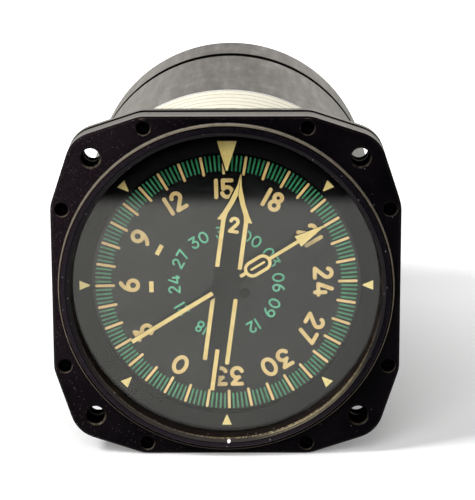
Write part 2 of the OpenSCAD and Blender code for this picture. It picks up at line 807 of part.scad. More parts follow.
// A small can with closed ends, for the motor and the card's synchro
module small_unit(p) {
    y0 = gear_plate_back;
    y1 = y0 + small_unit_len;
    in_r = small_unit_r - 1;
    edge_r = small_unit_r - 0.5;
    nose_r = small_bearing_r + 0.4;
    seat_r = small_bearing_r + seat_gap;
    turned_at(p) polygon([
        [nose_r, y0], [edge_r, y0], [edge_r, y0 + 0.8], [small_unit_r, y0 + 1],
        [small_unit_r, y1 - 0.5], [edge_r, y1], [seat_r, y1],
        [seat_r, y1 - 2.2], [in_r, y1 - 2.2], [in_r, y0 + 1.4], [nose_r, y0 + 1.4]
    ]);
}

module servo_motor_case() {
    color([0.5, 0.42, 0.3]) small_unit(motor_point);
}

module card_synchro_case() {
    color([0.5, 0.42, 0.3]) small_unit(card_synchro_point);
}

module compass_card() {
    color([0.06, 0.06, 0.065]) difference() {
        rod(card_r, card_y, card_y + card_t);
        rod(journal_r, card_y - cut, card_y + card_t + cut);
        for (c = card_screw_clocks)
            rod(card_screw_r + pass_gap, card_y - cut, card_y + card_t + cut, at(card_screw_at, c));
    }
}

module card_hub() {
    flange_front = card_y + card_t;
    flange_r = 6.6;
    shoulder_r = journal_r + 0.6;
    shoulder_y = front_plate_y - 0.3;
    color([0.7, 0.6, 0.32]) difference() {
        turned() polygon([
            [hub_bore_r, card_y + 0.1], [journal_r - 0.1, card_y + 0.1], [journal_r - 0.1, flange_front],
            [flange_r, flange_front], [flange_r, flange_front + 1.2], [shoulder_r, flange_front + 1.2],
            [shoulder_r, shoulder_y], [journal_r, shoulder_y],
            [journal_r, hub_end + 2], [hub_bore_r, hub_end + 2]
        ]);
        for (c = card_screw_clocks)
            rod(card_screw_r + seat_gap, card_y, flange_front + 2, at(card_screw_at, c));
    }
}

module card_screws() {
    color([0.12, 0.12, 0.12]) for (c = card_screw_clocks) {
        slotted_head(1.25, card_y - 0.3, 0.3, at(card_screw_at, c), 70);
        rod(card_screw_r, card_y - 0.02, card_y + card_t + 1.1, at(card_screw_at, c));
    }
}

// A spur gear with a hub and lightening holes, which leave a rim under the teeth
module spur(n, phase, y, t, bore, p, hub_r, hub_t, holes = 0, hole_r = 0, rim = 0) {
    hole_at = gear_module * n / 2 - tooth_root - rim - hole_r;
    translate([p[0], 0, p[1]]) {
        plate(y, t) difference() {
            polygon(gear_points(n, phase));
            circle(r = bore);
            if (holes > 0) for (i = [0:holes - 1])
                rotate(360 * i / holes) translate([hole_at, 0]) circle(r = hole_r);
        }
        ring(hub_r, bore, y + t, y + t + hub_t);
    }
}

module card_drive_gear() {
    color([0.78, 0.63, 0.3])
        spur(drive_teeth, 0, drive_y, drive_t, journal_r + seat_gap, [0, 0], 5.4, 0.8, 6, 4, 2.05);
}

module card_repeater_gear() {
    color([0.78, 0.63, 0.3])
        spur(repeater_teeth, 0, repeater_y, repeater_t, journal_r + seat_gap, [0, 0], 4.6, 0.6, 6, 1.8, 1.45);
}

module hub_collar() {
    color([0.6, 0.6, 0.6]) ring(5, journal_r + seat_gap, hub_end, hub_end + 1.6);
}

// Single-bar pointer, drawn pointing up
module pointer_1_outline() {
    barb_y = pointer_r - arrow_len;
    waist_y = pointer_r - 0.42 * arrow_len;
    tail_y = pointer_r - 0.3;
    oval_y = 8.8;
    oval_r = 2.2;
    oval_half = 1.45;
    arm_half = 1.25;
    bar_half = 0.55;
    polygon([
        [-0.2, pointer_r], [-0.65, waist_y], [-1.65, barb_y + 0.1], [-1.5, barb_y - 0.2],
        [1.5, barb_y - 0.2], [1.65, barb_y + 0.1], [0.65, waist_y], [0.2, pointer_r]
    ]);
    translate([-bar_half, -tail_y + bar_half]) square([2 * bar_half, tail_y + barb_y - bar_half]);
    translate([0, -tail_y + bar_half]) circle(r = bar_half);
    translate([-arm_half, -5.2]) square([2 * arm_half, 5.2 + oval_y - oval_half]);
    for (side = [-1, 1]) translate([0, oval_y + side * oval_half]) circle(r = oval_r);
    translate([-oval_r, oval_y - oval_half]) square([2 * oval_r, 2 * oval_half]);
    circle(r = 2.5);
    // Fillets between the hub and the arm
    for (x = [-1, 1], y = [-1, 1]) scale([x, y]) difference() {
        square([2.3, 2.9]);
        translate([2.55, 3.05]) circle(r = 1.3);
        translate([arm_half, 2.9]) square(2);
    }
}

// Double-bar pointer, drawn pointing up
module pointer_2_outline() {
    edge = bar_pitch / 2 + bar_w / 2 + 0.1;
    inner = bar_pitch / 2 - bar_w / 2 - 0.1;
    barb_y = pointer_r - double_arrow_len;
    neck_y = pointer_r - 0.25 * double_arrow_len;
    shoulder_y = pointer_r - 0.7 * double_arrow_len;
    prong_y = pointer_r - 7.85;
    tail_y = pointer_r - 0.5;
    tail_half = 1.1;
    difference() {
        polygon([
            [-0.2, pointer_r], [-0.75, neck_y], [-2.5, shoulder_y], [-edge - 1.1, barb_y + 0.1],
            [-edge - 0.95, barb_y - 0.15], [-edge, barb_y - 0.25], [-edge, -prong_y],
            [edge, -prong_y], [edge, barb_y - 0.25], [edge + 0.95, barb_y - 0.15],
            [edge + 1.1, barb_y + 0.1], [2.5, shoulder_y], [0.75, neck_y], [0.2, pointer_r]
        ]);
        // The web ends in two notches beside the single tail
        for (side = [0, 1]) mirror([side, 0])
            polygon([
                [tail_half, -prong_y - cut], [inner, -prong_y - cut],
                [inner, 4.3 - prong_y], [tail_half, 3.1 - prong_y]
            ]);
    }
    translate([-tail_half, tail_half - tail_y]) square([2 * tail_half, tail_y - prong_y + 4 - tail_half]);
    translate([0, tail_half - tail_y]) circle(r = tail_half);
}

module pointer_1() {
    color([0.93, 0.8, 0.5]) plate(pointer_1_y, pointer_t) difference() {
        rotate(-pointer_1_at) pointer_1_outline();
        circle(r = inner_shaft_r + seat_gap);
    }
}

module pointer_1_hub() {
    color([0.08, 0.08, 0.08])
        ring(2.0, inner_shaft_r + seat_gap, pointer_1_y - 0.25, pointer_1_y);
}

module pointer_1_shaft() {
    step_y = rear_synchro_y - 1.5;
    color([0.75, 0.75, 0.77]) {
        rod(inner_shaft_r, pointer_1_y - 0.2, step_y);
        rod(hollow_shaft_r, step_y, rear_plate_y + 0.6);
    }
}

// Dumb-bell rotor of a synchro
module rotor(y0, y1) {
    plate(y0, y1 - y0) difference() {
        circle(r = rotor_r);
        circle(r = hollow_shaft_r + seat_gap);
        for (s = [-1, 1]) translate([s * 5.4 - 2.2, -3.6]) square([4.4, 7.2]);
    }
}

module pointer_1_rotor() {
    color([0.45, 0.3, 0.2]) rotate([0, pointer_1_at, 0]) rotor(rear_synchro_y + 6, rear_plate_y - 6);
}

module pointer_2() {
    color([0.93, 0.8, 0.5]) plate(pointer_2_y, pointer_t) difference() {
        rotate(-pointer_2_at) pointer_2_outline();
        circle(r = hollow_shaft_r + seat_gap);
    }
}

module pointer_2_hub() {
    color([0.08, 0.08, 0.08])
        ring(journal_r - 0.6, hollow_shaft_r + seat_gap, pointer_2_back, pointer_2_back + 0.3);
}

module pointer_2_shaft() {
    color([0.75, 0.75, 0.77])
        ring(hollow_shaft_r, hollow_bore_r, pointer_2_y + 0.02, front_synchro_back + 0.6);
}

module pointer_2_rotor() {
    color([0.45, 0.3, 0.2]) rotate([0, pointer_2_at, 0]) rotor(front_synchro_y + 6, front_synchro_back - 6);
}

module idler_shaft() {
    color([0.75, 0.75, 0.77]) rod(small_shaft_r, front_plate_y + 0.2, gear_plate_y + 1.7, idler_point);
}

module idler_gear() {
    color([0.78, 0.63, 0.3]) spur(idler_gear_teeth, idler_pinion_phase, repeater_y, repeater_t,
        small_shaft_r + seat_gap, idler_point, 2.6, 0.9, 4, 1.5, 1.15);
}

module idler_pinion() {
    color([0.7, 0.7, 0.72]) spur(idler_pinion_teeth, idler_pinion_phase, drive_y - 0.2, drive_t + 0.4,
        small_shaft_r + seat_gap, idler_point, 2.4, 0.8);
}

// Rotor and shaft of the servo motor, and of the card's synchro
module small_rotor(p, nose_y) {
    y1 = gear_plate_back + small_unit_len;
    union() {
        rod(small_shaft_r, nose_y, y1 - 0.1, p);
        rod(5.2, gear_plate_back + 4, y1 - 5, p);
    }
}

module motor_rotor() {
    color([0.6, 0.6, 0.62]) small_rotor(motor_point, repeater_y - 0.6);
}

module motor_pinion() {
    color([0.7, 0.7, 0.72]) spur(motor_teeth, motor_phase, repeater_y - 0.2, repeater_t + 0.4,
        small_shaft_r + seat_gap, motor_point, 1.8, 0.5);
}

module card_synchro_rotor() {
    color([0.6, 0.6, 0.62]) small_rotor(card_synchro_point, repeater_y - 0.6);
}

module card_synchro_gear() {
    color([0.78, 0.63, 0.3]) spur(card_synchro_teeth, card_synchro_phase, repeater_y, repeater_t,
        small_shaft_r + seat_gap, card_synchro_point, 2.6, 0.9, 6, 2, 1.45);
}

bezel();
bezel_gasket();
bezel_screws();
glass_retaining_ring();
glass();
glass_seal();
mask_ring();
case();
label_plate();
cover_seal();
rear_cover();
rear_cover_screws();
cover_standoffs();
connector_shell();
connector_insert();
connector_pins();
connector_screws();
connector_leads();
terminal_board();
front_plate();
front_plate_screws();
gear_plate();
gear_posts();
rear_plate();
frame_posts();
frame_screws();
synchro_adapter();
card_bearings();
synchro_bearings();
small_bearings();
synchro_end_caps();
pointer_1_synchro_case();
pointer_1_stator();
pointer_2_synchro_case();
pointer_2_stator();
servo_motor_case();
card_synchro_case();
compass_card();
card_hub();
card_screws();
card_drive_gear();
card_repeater_gear();
hub_collar();
pointer_1();
pointer_1_hub();
pointer_1_shaft();
pointer_1_rotor();
pointer_2();
pointer_2_hub();
pointer_2_shaft();
pointer_2_rotor();
idler_shaft();
idler_gear();
idler_pinion();
motor_rotor();
motor_pinion();
card_synchro_rotor();
card_synchro_gear();
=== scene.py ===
"""Looks of a round aircraft indicator: finishes, dial printing, pointer paint and wear around the frame."""
import json
import math

import bmesh
import bpy
from mathutils import Matrix, Vector


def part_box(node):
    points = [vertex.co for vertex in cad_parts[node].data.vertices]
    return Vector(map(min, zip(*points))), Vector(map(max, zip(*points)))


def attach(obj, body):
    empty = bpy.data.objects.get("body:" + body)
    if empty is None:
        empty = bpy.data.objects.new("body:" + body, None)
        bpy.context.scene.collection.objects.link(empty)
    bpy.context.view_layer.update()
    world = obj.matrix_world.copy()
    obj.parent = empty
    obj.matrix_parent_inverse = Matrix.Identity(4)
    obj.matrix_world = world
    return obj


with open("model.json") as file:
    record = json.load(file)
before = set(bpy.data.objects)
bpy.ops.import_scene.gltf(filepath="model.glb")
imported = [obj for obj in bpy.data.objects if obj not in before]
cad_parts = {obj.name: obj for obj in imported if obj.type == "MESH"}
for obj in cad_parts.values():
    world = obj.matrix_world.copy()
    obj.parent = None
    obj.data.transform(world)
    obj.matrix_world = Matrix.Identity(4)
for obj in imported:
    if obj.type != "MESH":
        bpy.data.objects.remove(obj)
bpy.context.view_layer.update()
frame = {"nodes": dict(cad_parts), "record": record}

MM = 0.001

# Camera, in degrees and millimetres, on the photograph's frame of 475 x 500 pixels
CAMERA_YAW = -0.52
CAMERA_PITCH = 14.26
CAMERA_ROLL = -0.22
CAMERA_DISTANCE = 514.3
CAMERA_ASIDE = -2.69
CAMERA_BELOW = -9.04
AIM_Y = -10.9
FOCAL_PIXELS = 2181.7
IMAGE_HEIGHT = 500
SENSOR = 36.0


def edge(node, side, axis):
    """One side of a node's box in millimetres: side 0 is the lowest, 1 the highest."""
    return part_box(node)[side][axis] / MM


# Places that the frame gives, in millimetres
MASK_Y = edge("mask_ring", 0, 1)
CARD_Y = edge("compass_card", 0, 1)
POINTER_1_Y = edge("pointer_1", 0, 1)
POINTER_2_Y = edge("pointer_2", 0, 1)
RIM_Y = edge("bezel", 0, 1)
BEZEL_BACK = edge("bezel", 1, 1)
FLANGE_HALF = edge("bezel", 1, 0)
RING_Y = edge("glass_retaining_ring", 0, 1)
RING_R = edge("glass_retaining_ring", 1, 0)
SEAM_Y = (edge("cover_seal", 0, 1) + edge("cover_seal", 1, 1)) / 2
CASE_R = edge("label_plate", 1, 2)
LABEL_FRONT = edge("label_plate", 0, 1)
LABEL_BACK = edge("label_plate", 1, 1)
BOLTS = frame["record"]["mounts"][0]["dims"]
BOLT_AT = BOLTS["spacing_x_mm"] / 2
BOLT_R = BOLTS["hole_r_mm"]

# Places on the bezel, the ring and the label, in millimetres and degrees
PLATE_Y = RIM_Y + 2.0
RIM_R = RING_R + 0.72
BEVEL_OUT_R = RING_R - 1.0
BEVEL_IN_R = RING_R - 2.0
SCREW_R = 42.9
SCREW_CLOCK = 26.4
SCREW_MOUTH_R = 2.3
BOLT_MOUTH_W = 0.5
BORE_DEPTH = 0.95
SEAM_HALF = 2.1
SEAM_SOFT = 1.4
LABEL_MARGIN = 1.2

# Dial printing, in millimetres and degrees
TOP_HEADING = 151.1
PAINT = 0.04
PAINT_SINK = 0.005
STROKE_STEP = 0.003
TICK_OUT = 31.2
MAJOR_LEN = 4.7
MAJOR_W = 0.65
MINOR_LEN = 3.9
MINOR_W = 0.43
NUMERAL_R = 23.05
NUMERAL_STROKE = 0.95
NUMERAL_GAP = 0.55
INNER_R = 12.4
INNER_SCALE = 0.63
INNER_STROKE = 0.45
INNER_GAP = 0.45
UNDERLINE_R = 17.85
UNDERLINE_LEN = 2.65
UNDERLINE_W = 1.05
UNDERLINE_ASIDE = -0.47

# Rest headings of the pointers, as clock angles
POINTER_1_AT = 58.1
POINTER_2_AT = 7.65

# Floor: its rise per length, its gap below the object in metres, and its grey
FLOOR_SLOPE = 0.01886
FLOOR_GAP = 0.00002
FLOOR_GREY = (0.82, 0.82, 0.82, 1)

# Dark room in front of the object, in metres
ROOM_NEAR = -0.276
ROOM_FAR = -1.3
ROOM_SOFT = 0.03
ROOM_HALF_W = 2.6
ROOM_TOP = 2.6


def srgb(red, green, blue):
    """A colour of 0 to 255 as the linear one that a shader takes."""
    def linear(c):
        c /= 255
        return c / 12.92 if c <= 0.04045 else ((c + 0.055) / 1.055) ** 2.4
    return (linear(red), linear(green), linear(blue), 1.0)


BLACK = srgb(3, 3, 3)


def scaled(color, share):
    """A lighter or darker shade of a colour."""
    return tuple(c * share for c in color)


def polar(r, clock):
    """A point of the front view by its distance and clock angle."""
    return Vector((r * math.sin(math.radians(clock)), r * math.cos(math.radians(clock))))


class Look:
    """One material: a Principled shader and the nodes that vary it. Sizes are in millimetres."""

    def __init__(self, name, color, roughness=0.5, metallic=0.0, specular=0.5):
        self.material = bpy.data.materials.new(name)
        self.material.use_nodes = True
        self.tree = self.material.node_tree
        self.shader = self.tree.nodes["Principled BSDF"]
        self.set("Base Color", color)
        self.set("Roughness", roughness)
        self.set("Metallic", metallic)
        self.set("Specular IOR Level", specular)
        coordinates = self.node("ShaderNodeTexCoord")
        self.place = self.node("ShaderNodeVectorMath", operation="SCALE")
        self.tree.links.new(coordinates.outputs["Object"], self.place.inputs[0])
        self.place.inputs["Scale"].default_value = 1 / MM

    def node(self, kind, **settings):
        new = self.tree.nodes.new(kind)
        for key, value in settings.items():
            setattr(new, key, value)
        return new

    def feed(self, socket, value):
        """Links an output to a socket, or sets the socket to a number or colour."""
        if isinstance(value, bpy.types.NodeSocket):
            self.tree.links.new(value, socket)
        else:
            socket.default_value = value

    def set(self, name, value):
        self.feed(self.shader.inputs[name], value)

    def surface(self, value):
        """Takes another shader's output as the surface."""
        self.feed(self.tree.nodes["Material Output"].inputs["Surface"], value)

    def either(self, factor, a, b):
        """Blend of two shaders' outputs."""
        new = self.node("ShaderNodeMixShader")
        for socket, value in zip(new.inputs, (factor, a, b)):
            self.feed(socket, value)
        return new.outputs[0]

    def noise(self, size, detail=4.0, roughness=0.55, stretch=(1, 1, 1), seed=0.0):
        """Noise with features of about that size."""
        moved = self.node("ShaderNodeVectorMath", operation="MULTIPLY_ADD")
        self.feed(moved.inputs[0], self.place.outputs[0])
        moved.inputs[1].default_value = [1 / s for s in stretch]
        moved.inputs[2].default_value = (seed, seed * 1.7, seed * 0.6)
        new = self.node("ShaderNodeTexNoise")
        self.feed(new.inputs["Vector"], moved.outputs[0])
        new.inputs["Scale"].default_value = 1 / size
        new.inputs["Detail"].default_value = detail
        new.inputs["Roughness"].default_value = roughness
        return new.outputs["Fac"]

    def cells(self, size, seed=0.0):
        """Distance to the nearest of scattered points, in cells of that size."""
        moved = self.node("ShaderNodeVectorMath", operation="ADD")
        self.feed(moved.inputs[0], self.place.outputs[0])
        moved.inputs[1].default_value = (seed, seed, seed)
        new = self.node("ShaderNodeTexVoronoi")
        self.feed(new.inputs["Vector"], moved.outputs[0])
        new.inputs["Scale"].default_value = 1 / size
        return new.outputs["Distance"]

    def remap(self, value, low, high, to_low=0.0, to_high=1.0, kind="LINEAR"):
        """The value's range from low to high, carried over to another range and held at its ends."""
        new = self.node("ShaderNodeMapRange", interpolation_type=kind)
        for socket, number in zip(new.inputs, (value, low, high, to_low, to_high)):
            self.feed(socket, number)
        return new.outputs[0]

    def fade(self, value, low, high, to_low=0.0, to_high=1.0):
        """Like remap, with a smooth run from end to end."""
        return self.remap(value, low, high, to_low, to_high, kind="SMOOTHSTEP")

    def calc(self, operation, a, b=0.0):
        new = self.node("ShaderNodeMath", operation=operation)
        self.feed(new.inputs[0], a)
        self.feed(new.inputs[1], b)
        return new.outputs[0]

    def times(self, first, *others):
        """Product of the values."""
        for value in others:
            first = self.calc("MULTIPLY", first, value)
        return first

    def most(self, first, *others):
        """Largest of the values."""
        for value in others:
            first = self.calc("MAXIMUM", first, value)
        return first

    def away(self, a, b, point=(0, 0)):
        """Distance of the two coordinates from a point."""
        a = self.calc("SUBTRACT", a, point[0])
        b = self.calc("SUBTRACT", b, point[1])
        return self.calc("SQRT", self.calc("ADD", self.times(a, a), self.times(b, b)))

    def mix(self, factor, a, b):
        """Blend of two colours."""
        new = self.node("ShaderNodeMix", data_type="RGBA")
        self.feed(new.inputs[0], factor)
        self.feed(new.inputs[6], a)
        self.feed(new.inputs[7], b)
        return new.outputs[2]

    def blend(self, factor, a, b):
        """Blend of two numbers."""
        new = self.node("ShaderNodeMix", data_type="FLOAT")
        self.feed(new.inputs[0], factor)
        self.feed(new.inputs[2], a)
        self.feed(new.inputs[3], b)
        return new.outputs[0]

    def bump(self, height, depth, strength=0.3):
        """Bump of the shader's normal, by a height of 0 to 1 that is worth that depth."""
        new = self.node("ShaderNodeBump")
        new.inputs["Strength"].default_value = strength
        new.inputs["Distance"].default_value = depth * MM
        self.feed(new.inputs["Height"], height)
        self.set("Normal", new.outputs[0])

    def split(self):
        """The place's X, Y and Z."""
        new = self.node("ShaderNodeSeparateXYZ")
        self.feed(new.inputs[0], self.place.outputs[0])
        return new.outputs

    def depth(self):
        """The place along the main axis."""
        return self.split()[1]

    def radius(self):
        """Distance from the main axis."""
        place = self.split()
        return self.away(place[0], place[2])

    def clock(self):
        """Clock angle in degrees, from -180 to 180."""
        place = self.split()
        return self.times(self.calc("ARCTAN2", place[0], place[2]), math.degrees(1))

    def round_streaks(self, size, along, seed=0.0):
        """Noise drawn out along circles round the main axis: size across, along in degrees."""
        joined = self.node("ShaderNodeCombineXYZ")
        self.feed(joined.inputs[0], self.times(self.radius(), 1 / size))
        self.feed(joined.inputs[1], self.times(self.clock(), 1 / along))
        joined.inputs[2].default_value = seed
        new = self.node("ShaderNodeTexNoise")
        self.feed(new.inputs["Vector"], joined.outputs[0])
        new.inputs["Scale"].default_value = 1.0
        new.inputs["Detail"].default_value = 4.0
        return new.outputs["Fac"]

    def band(self, value, middle, half, soft):
        """1 where the value is within half of the middle, and 0 past a soft edge."""
        off = self.calc("ABSOLUTE", self.calc("SUBTRACT", value, middle))
        return self.remap(off, half, half + soft, 1.0, 0.0)

    def near(self, points, reach):
        """1 within reach of any of those points of the front view, which are taken in all four quarters."""
        soft = 0.05
        place = self.split()
        x = self.calc("ABSOLUTE", place[0])
        z = self.calc("ABSOLUTE", place[2])
        return self.most(*[self.remap(self.away(x, z, p), reach, reach + soft, 1.0, 0.0) for p in points])

    def toward(self, direction):
        """How far a face looks that way: 1 straight, -1 away."""
        geometry = self.node("ShaderNodeNewGeometry")
        dot = self.node("ShaderNodeVectorMath", operation="DOT_PRODUCT")
        self.feed(dot.inputs[0], geometry.outputs["Normal"])
        dot.inputs[1].default_value = direction
        return dot.outputs["Value"]

    def facing(self):
        """1 on faces square to the main axis, 0 on faces along it."""
        return self.calc("ABSOLUTE", self.toward((0, 1, 0)))

    def edges(self, reach):
        """1 at edges and corners, 0 on flat and gently curved faces."""
        rounded = self.node("ShaderNodeBevel", samples=6)
        rounded.inputs["Radius"].default_value = reach * MM
        geometry = self.node("ShaderNodeNewGeometry")
        dot = self.node("ShaderNodeVectorMath", operation="DOT_PRODUCT")
        self.feed(dot.inputs[0], rounded.outputs[0])
        self.feed(dot.inputs[1], geometry.outputs["Normal"])
        return self.remap(dot.outputs["Value"], 0.98, 0.86)

    def specks(self, size, seed, full, gone, strength):
        """Scattered round dots, full and gone at those distances from their middles, in cells."""
        return self.times(self.remap(self.cells(size, seed), gone, full), strength)


def worn_black(name):
    """Black enamel of the bezel: dusty in front with painted light toward the left and top, its sides shinier
    and paler with wear and painted reflection, painted shade in its holes and beside the gasket, painted
    highlight at hole mouths, bare at sharp edges.
    """
    look = Look(name, srgb(8, 7, 9))
    x, y, z = look.split()
    r = look.radius()
    turned = look.calc("ABSOLUTE", look.clock())
    facing = look.facing()
    cloud = look.noise(9, detail=5)
    grime = look.noise(1.1, detail=6, roughness=0.7, seed=3)
    fine = look.noise(0.3, detail=4, roughness=0.7, seed=6)
    base = look.mix(look.remap(cloud, 0.35, 0.7), srgb(3, 2, 4), srgb(11, 8, 11))
    # Dust on the front, laid thicker toward the left and the top as painted light
    upper_light = look.fade(z, -30, -8, 0.2, 1.0)
    dust_and_left_light = look.times(look.fade(x, 2, -36), look.remap(fine, 0.3, 0.75), upper_light, 0.8)
    base = look.mix(dust_and_left_light, base, srgb(44, 35, 40))

    # Sides of the plate: streaks, paler near its front, part wear and part painted reflection, and black
    # beside the gasket as painted shade
    sides = look.remap(facing, 0.6, 0.35)
    streak = look.noise(0.35, detail=5, roughness=0.65, stretch=(14, 1, 14), seed=2)
    side_wear_and_sheen = look.mix(look.remap(streak, 0.35, 0.65), srgb(16, 14, 12), srgb(60, 56, 50))
    front_wear_and_sheen = look.times(look.fade(y, PLATE_Y + 2.6, PLATE_Y + 0.2), look.remap(grime, 0.3, 0.6, 0.3, 0.9))
    side_wear_and_sheen = look.mix(front_wear_and_sheen, side_wear_and_sheen, srgb(104, 98, 88))
    gasket_shade = look.remap(y, BEZEL_BACK - 0.9, BEZEL_BACK - 0.4)
    base = look.mix(sides, base, look.mix(gasket_shade, side_wear_and_sheen, BLACK))

    # Holes, black inside as painted shade, with painted highlight in patches on the mouths that face the
    # upper left
    bolt_holes = look.near([(BOLT_AT, BOLT_AT)], BOLT_R + BOLT_MOUTH_W)
    screws = [polar(SCREW_R, SCREW_CLOCK), polar(SCREW_R, 90 - SCREW_CLOCK)]
    holes = look.most(bolt_holes, look.near(screws, SCREW_MOUTH_R))
    hole_wall_shade = look.times(holes, sides)
    base = look.mix(hole_wall_shade, base, BLACK)
    slanted = look.times(look.remap(facing, 0.6, 0.64), look.remap(facing, 0.88, 0.8))
    lit_upper_left = look.remap(look.toward((-0.45, 0, 0.89)), 0.1, 0.6)
    patches = look.times(look.remap(grime, 0.35, 0.6), look.remap(x, -10, 25, 1.0, 0.4))
    base = look.mix(look.times(holes, slanted, lit_upper_left, patches), base, srgb(84, 76, 64))

    # Rim round the window: pale chipped bands on its outer wall and at its front, strongest at the top
    chips = look.remap(look.round_streaks(0.5, 3.0, seed=2), 0.3, 0.5, 0.5, 1.0)
    wall = look.times(
        look.band(r, RIM_R, 0.1, 0.05),
        look.remap(y, PLATE_Y - 0.1, PLATE_Y - 0.3),
        look.remap(y, RIM_Y + 0.65, RIM_Y + 0.85),
        look.fade(turned, 70, 110, 1.0, 0.25),
    )
    base = look.mix(look.times(wall, chips), base, srgb(164, 156, 140))
    front = look.remap(y, RIM_Y + 0.35, RIM_Y + 0.25)
    rim = look.times(look.band(r, RIM_R, 0.17, 0.05), front, look.fade(turned, 75, 170, 0.8, 0.2))
    base = look.mix(look.times(rim, chips), base, srgb(126, 116, 98))

    # Wear at the edges, and dust
    worn = look.times(look.edges(0.25), look.remap(grime, 0.4, 0.6), 0.18)
    base = look.mix(worn, base, srgb(110, 102, 92))
    dust = look.specks(size=2.3, seed=5, full=0.03, gone=0.05, strength=0.5)
    base = look.mix(dust, base, srgb(150, 146, 140))
    # Powder specks, laid thicker toward the left as painted light
    left_light = look.remap(x, 20, -30, 0.04, 0.6)
    powder = look.specks(size=0.8, seed=11, full=0.08, gone=0.16, strength=left_light)
    base = look.mix(powder, base, srgb(104, 94, 92))
    look.set("Base Color", base)
    sheen = look.blend(sides, 0.02, look.remap(y, PLATE_Y + 5, PLATE_Y + 1, 0.3, 0.5))
    sheen = look.times(sheen, look.calc("SUBTRACT", 1.0, look.times(sides, gasket_shade)))
    look.set("Specular IOR Level", look.times(sheen, look.calc("SUBTRACT", 1.0, hole_wall_shade)))
    look.set("Roughness", look.remap(grime, 0.3, 0.75, 0.24, 0.4))
    look.bump(look.noise(0.32, detail=3, seed=2), 0.01)
    return look.material


def ring_black(name):
    """The ring over the glass: black, with painted light on its bevel toward the bottom and painted highlight
    lines at the lower right, and gold at the bevel's foot.
    """
    look = Look(name, srgb(10, 8, 14), specular=0.05)
    x, y, z = look.split()
    r = look.radius()
    clock = look.clock()
    turned = look.calc("ABSOLUTE", clock)
    grime = look.noise(0.9, detail=6, roughness=0.7, seed=8)
    streaks = look.round_streaks(0.14, 9.0, seed=4)
    dashes = look.round_streaks(0.6, 0.9, seed=7)
    base = look.mix(look.remap(grime, 0.4, 0.7), srgb(5, 3, 9), srgb(20, 16, 23))
    lighter = look.most(look.fade(x, 4, -34), look.fade(z, -20, -36))
    base = look.mix(look.times(lighter, look.remap(grime, 0.3, 0.65, 0.4, 0.9)), base, srgb(38, 32, 38))

    # Bevel, painted lighter toward the bottom and with thin painted highlight lines along its lower right,
    # and a dark line outside it
    bevel = look.band(r, (BEVEL_OUT_R + BEVEL_IN_R) / 2 - 0.05, 0.4, 0.06)
    bevel_lit_low = look.mix(look.fade(turned, 110, 150), srgb(30, 28, 29), srgb(52, 49, 44))
    base = look.mix(look.times(bevel, look.remap(streaks, 0.3, 0.6, 0.45, 1.0)), base, bevel_lit_low)
    lit_lower_right = look.times(look.fade(clock, 112, 140), look.fade(clock, 172, 158))
    second_line = look.times(look.band(r, BEVEL_IN_R + 0.68, 0.04, 0.03), 0.5)
    lines = look.most(look.band(r, BEVEL_IN_R + 0.3, 0.05, 0.03), second_line)
    lines = look.times(lines, look.remap(grime, 0.32, 0.55, 0.35, 1.0))
    lines = look.most(lines, look.remap(streaks, 0.5, 0.7, 0.03, 0.22))
    painted_glint = look.times(lit_lower_right, bevel, lines)
    base = look.mix(painted_glint, base, srgb(150, 138, 104))
    base = look.mix(look.band(r, BEVEL_OUT_R + 0.06, 0.07, 0.05), base, srgb(3, 2, 3))

    # Gold dashes at the bevel's foot, in its lower half and least at the lower left
    foot = look.times(look.band(r, BEVEL_IN_R + 0.05, 0.09, 0.03), look.fade(turned, 95, 125))
    gold = look.times(foot, look.remap(dashes, 0.44, 0.58, 0.1, 1.0))
    lower_left = look.band(clock, -120, 25, 45)
    strength = look.times(look.remap(clock, 110, 170, 0.5, 0.6), look.remap(lower_left, 0, 1, 1.0, 0.25))
    base = look.mix(look.times(gold, strength), base, srgb(164, 146, 108))
    # Bore behind the ring's front, painted dark brown as shade
    base = look.mix(look.remap(y, RING_Y + BORE_DEPTH, RING_Y + BORE_DEPTH + 0.1), base, srgb(20, 15, 12))

    # One white chip at the bottom, and dust
    chip = look.away(x, z, polar(BEVEL_OUT_R - 0.35, 179.2))
    chip = look.calc("ADD", chip, look.times(look.calc("SUBTRACT", grime, 0.5), 0.6))
    base = look.mix(look.remap(chip, 0.42, 0.36), base, srgb(240, 238, 232))
    dust = look.specks(size=1.7, seed=1, full=0.05, gone=0.09, strength=0.7)
    base = look.mix(dust, base, srgb(190, 188, 184))
    look.set("Base Color", base)
    look.set("Metallic", look.times(look.most(painted_glint, gold), 0.15))
    look.set("Roughness", look.remap(grime, 0.3, 0.7, 0.28, 0.42))
    look.bump(look.noise(0.25, detail=3, seed=9), 0.008)
    return look.material


def flat_black(name, color=(4, 4, 5), roughness=0.6, specular=0.06, dull_edges=False):
    """Black dial paint with a faint crinkle."""
    look = Look(name, srgb(*color), specular=specular)
    speck = look.noise(0.5, detail=6, roughness=0.7)
    crinkle = look.noise(0.55, detail=2, seed=5)
    cloud = look.noise(8, detail=3, seed=2)
    look.set("Base Color", look.mix(look.times(speck, cloud), srgb(*color), srgb(*scaled(color, 1.5))))
    even = look.remap(speck, 0.3, 0.7, roughness * 0.85, roughness * 1.15)
    look.set("Roughness", look.blend(look.edges(0.2), even, 0.7) if dull_edges else even)
    look.bump(crinkle, 0.004, strength=0.2)
    return look.material


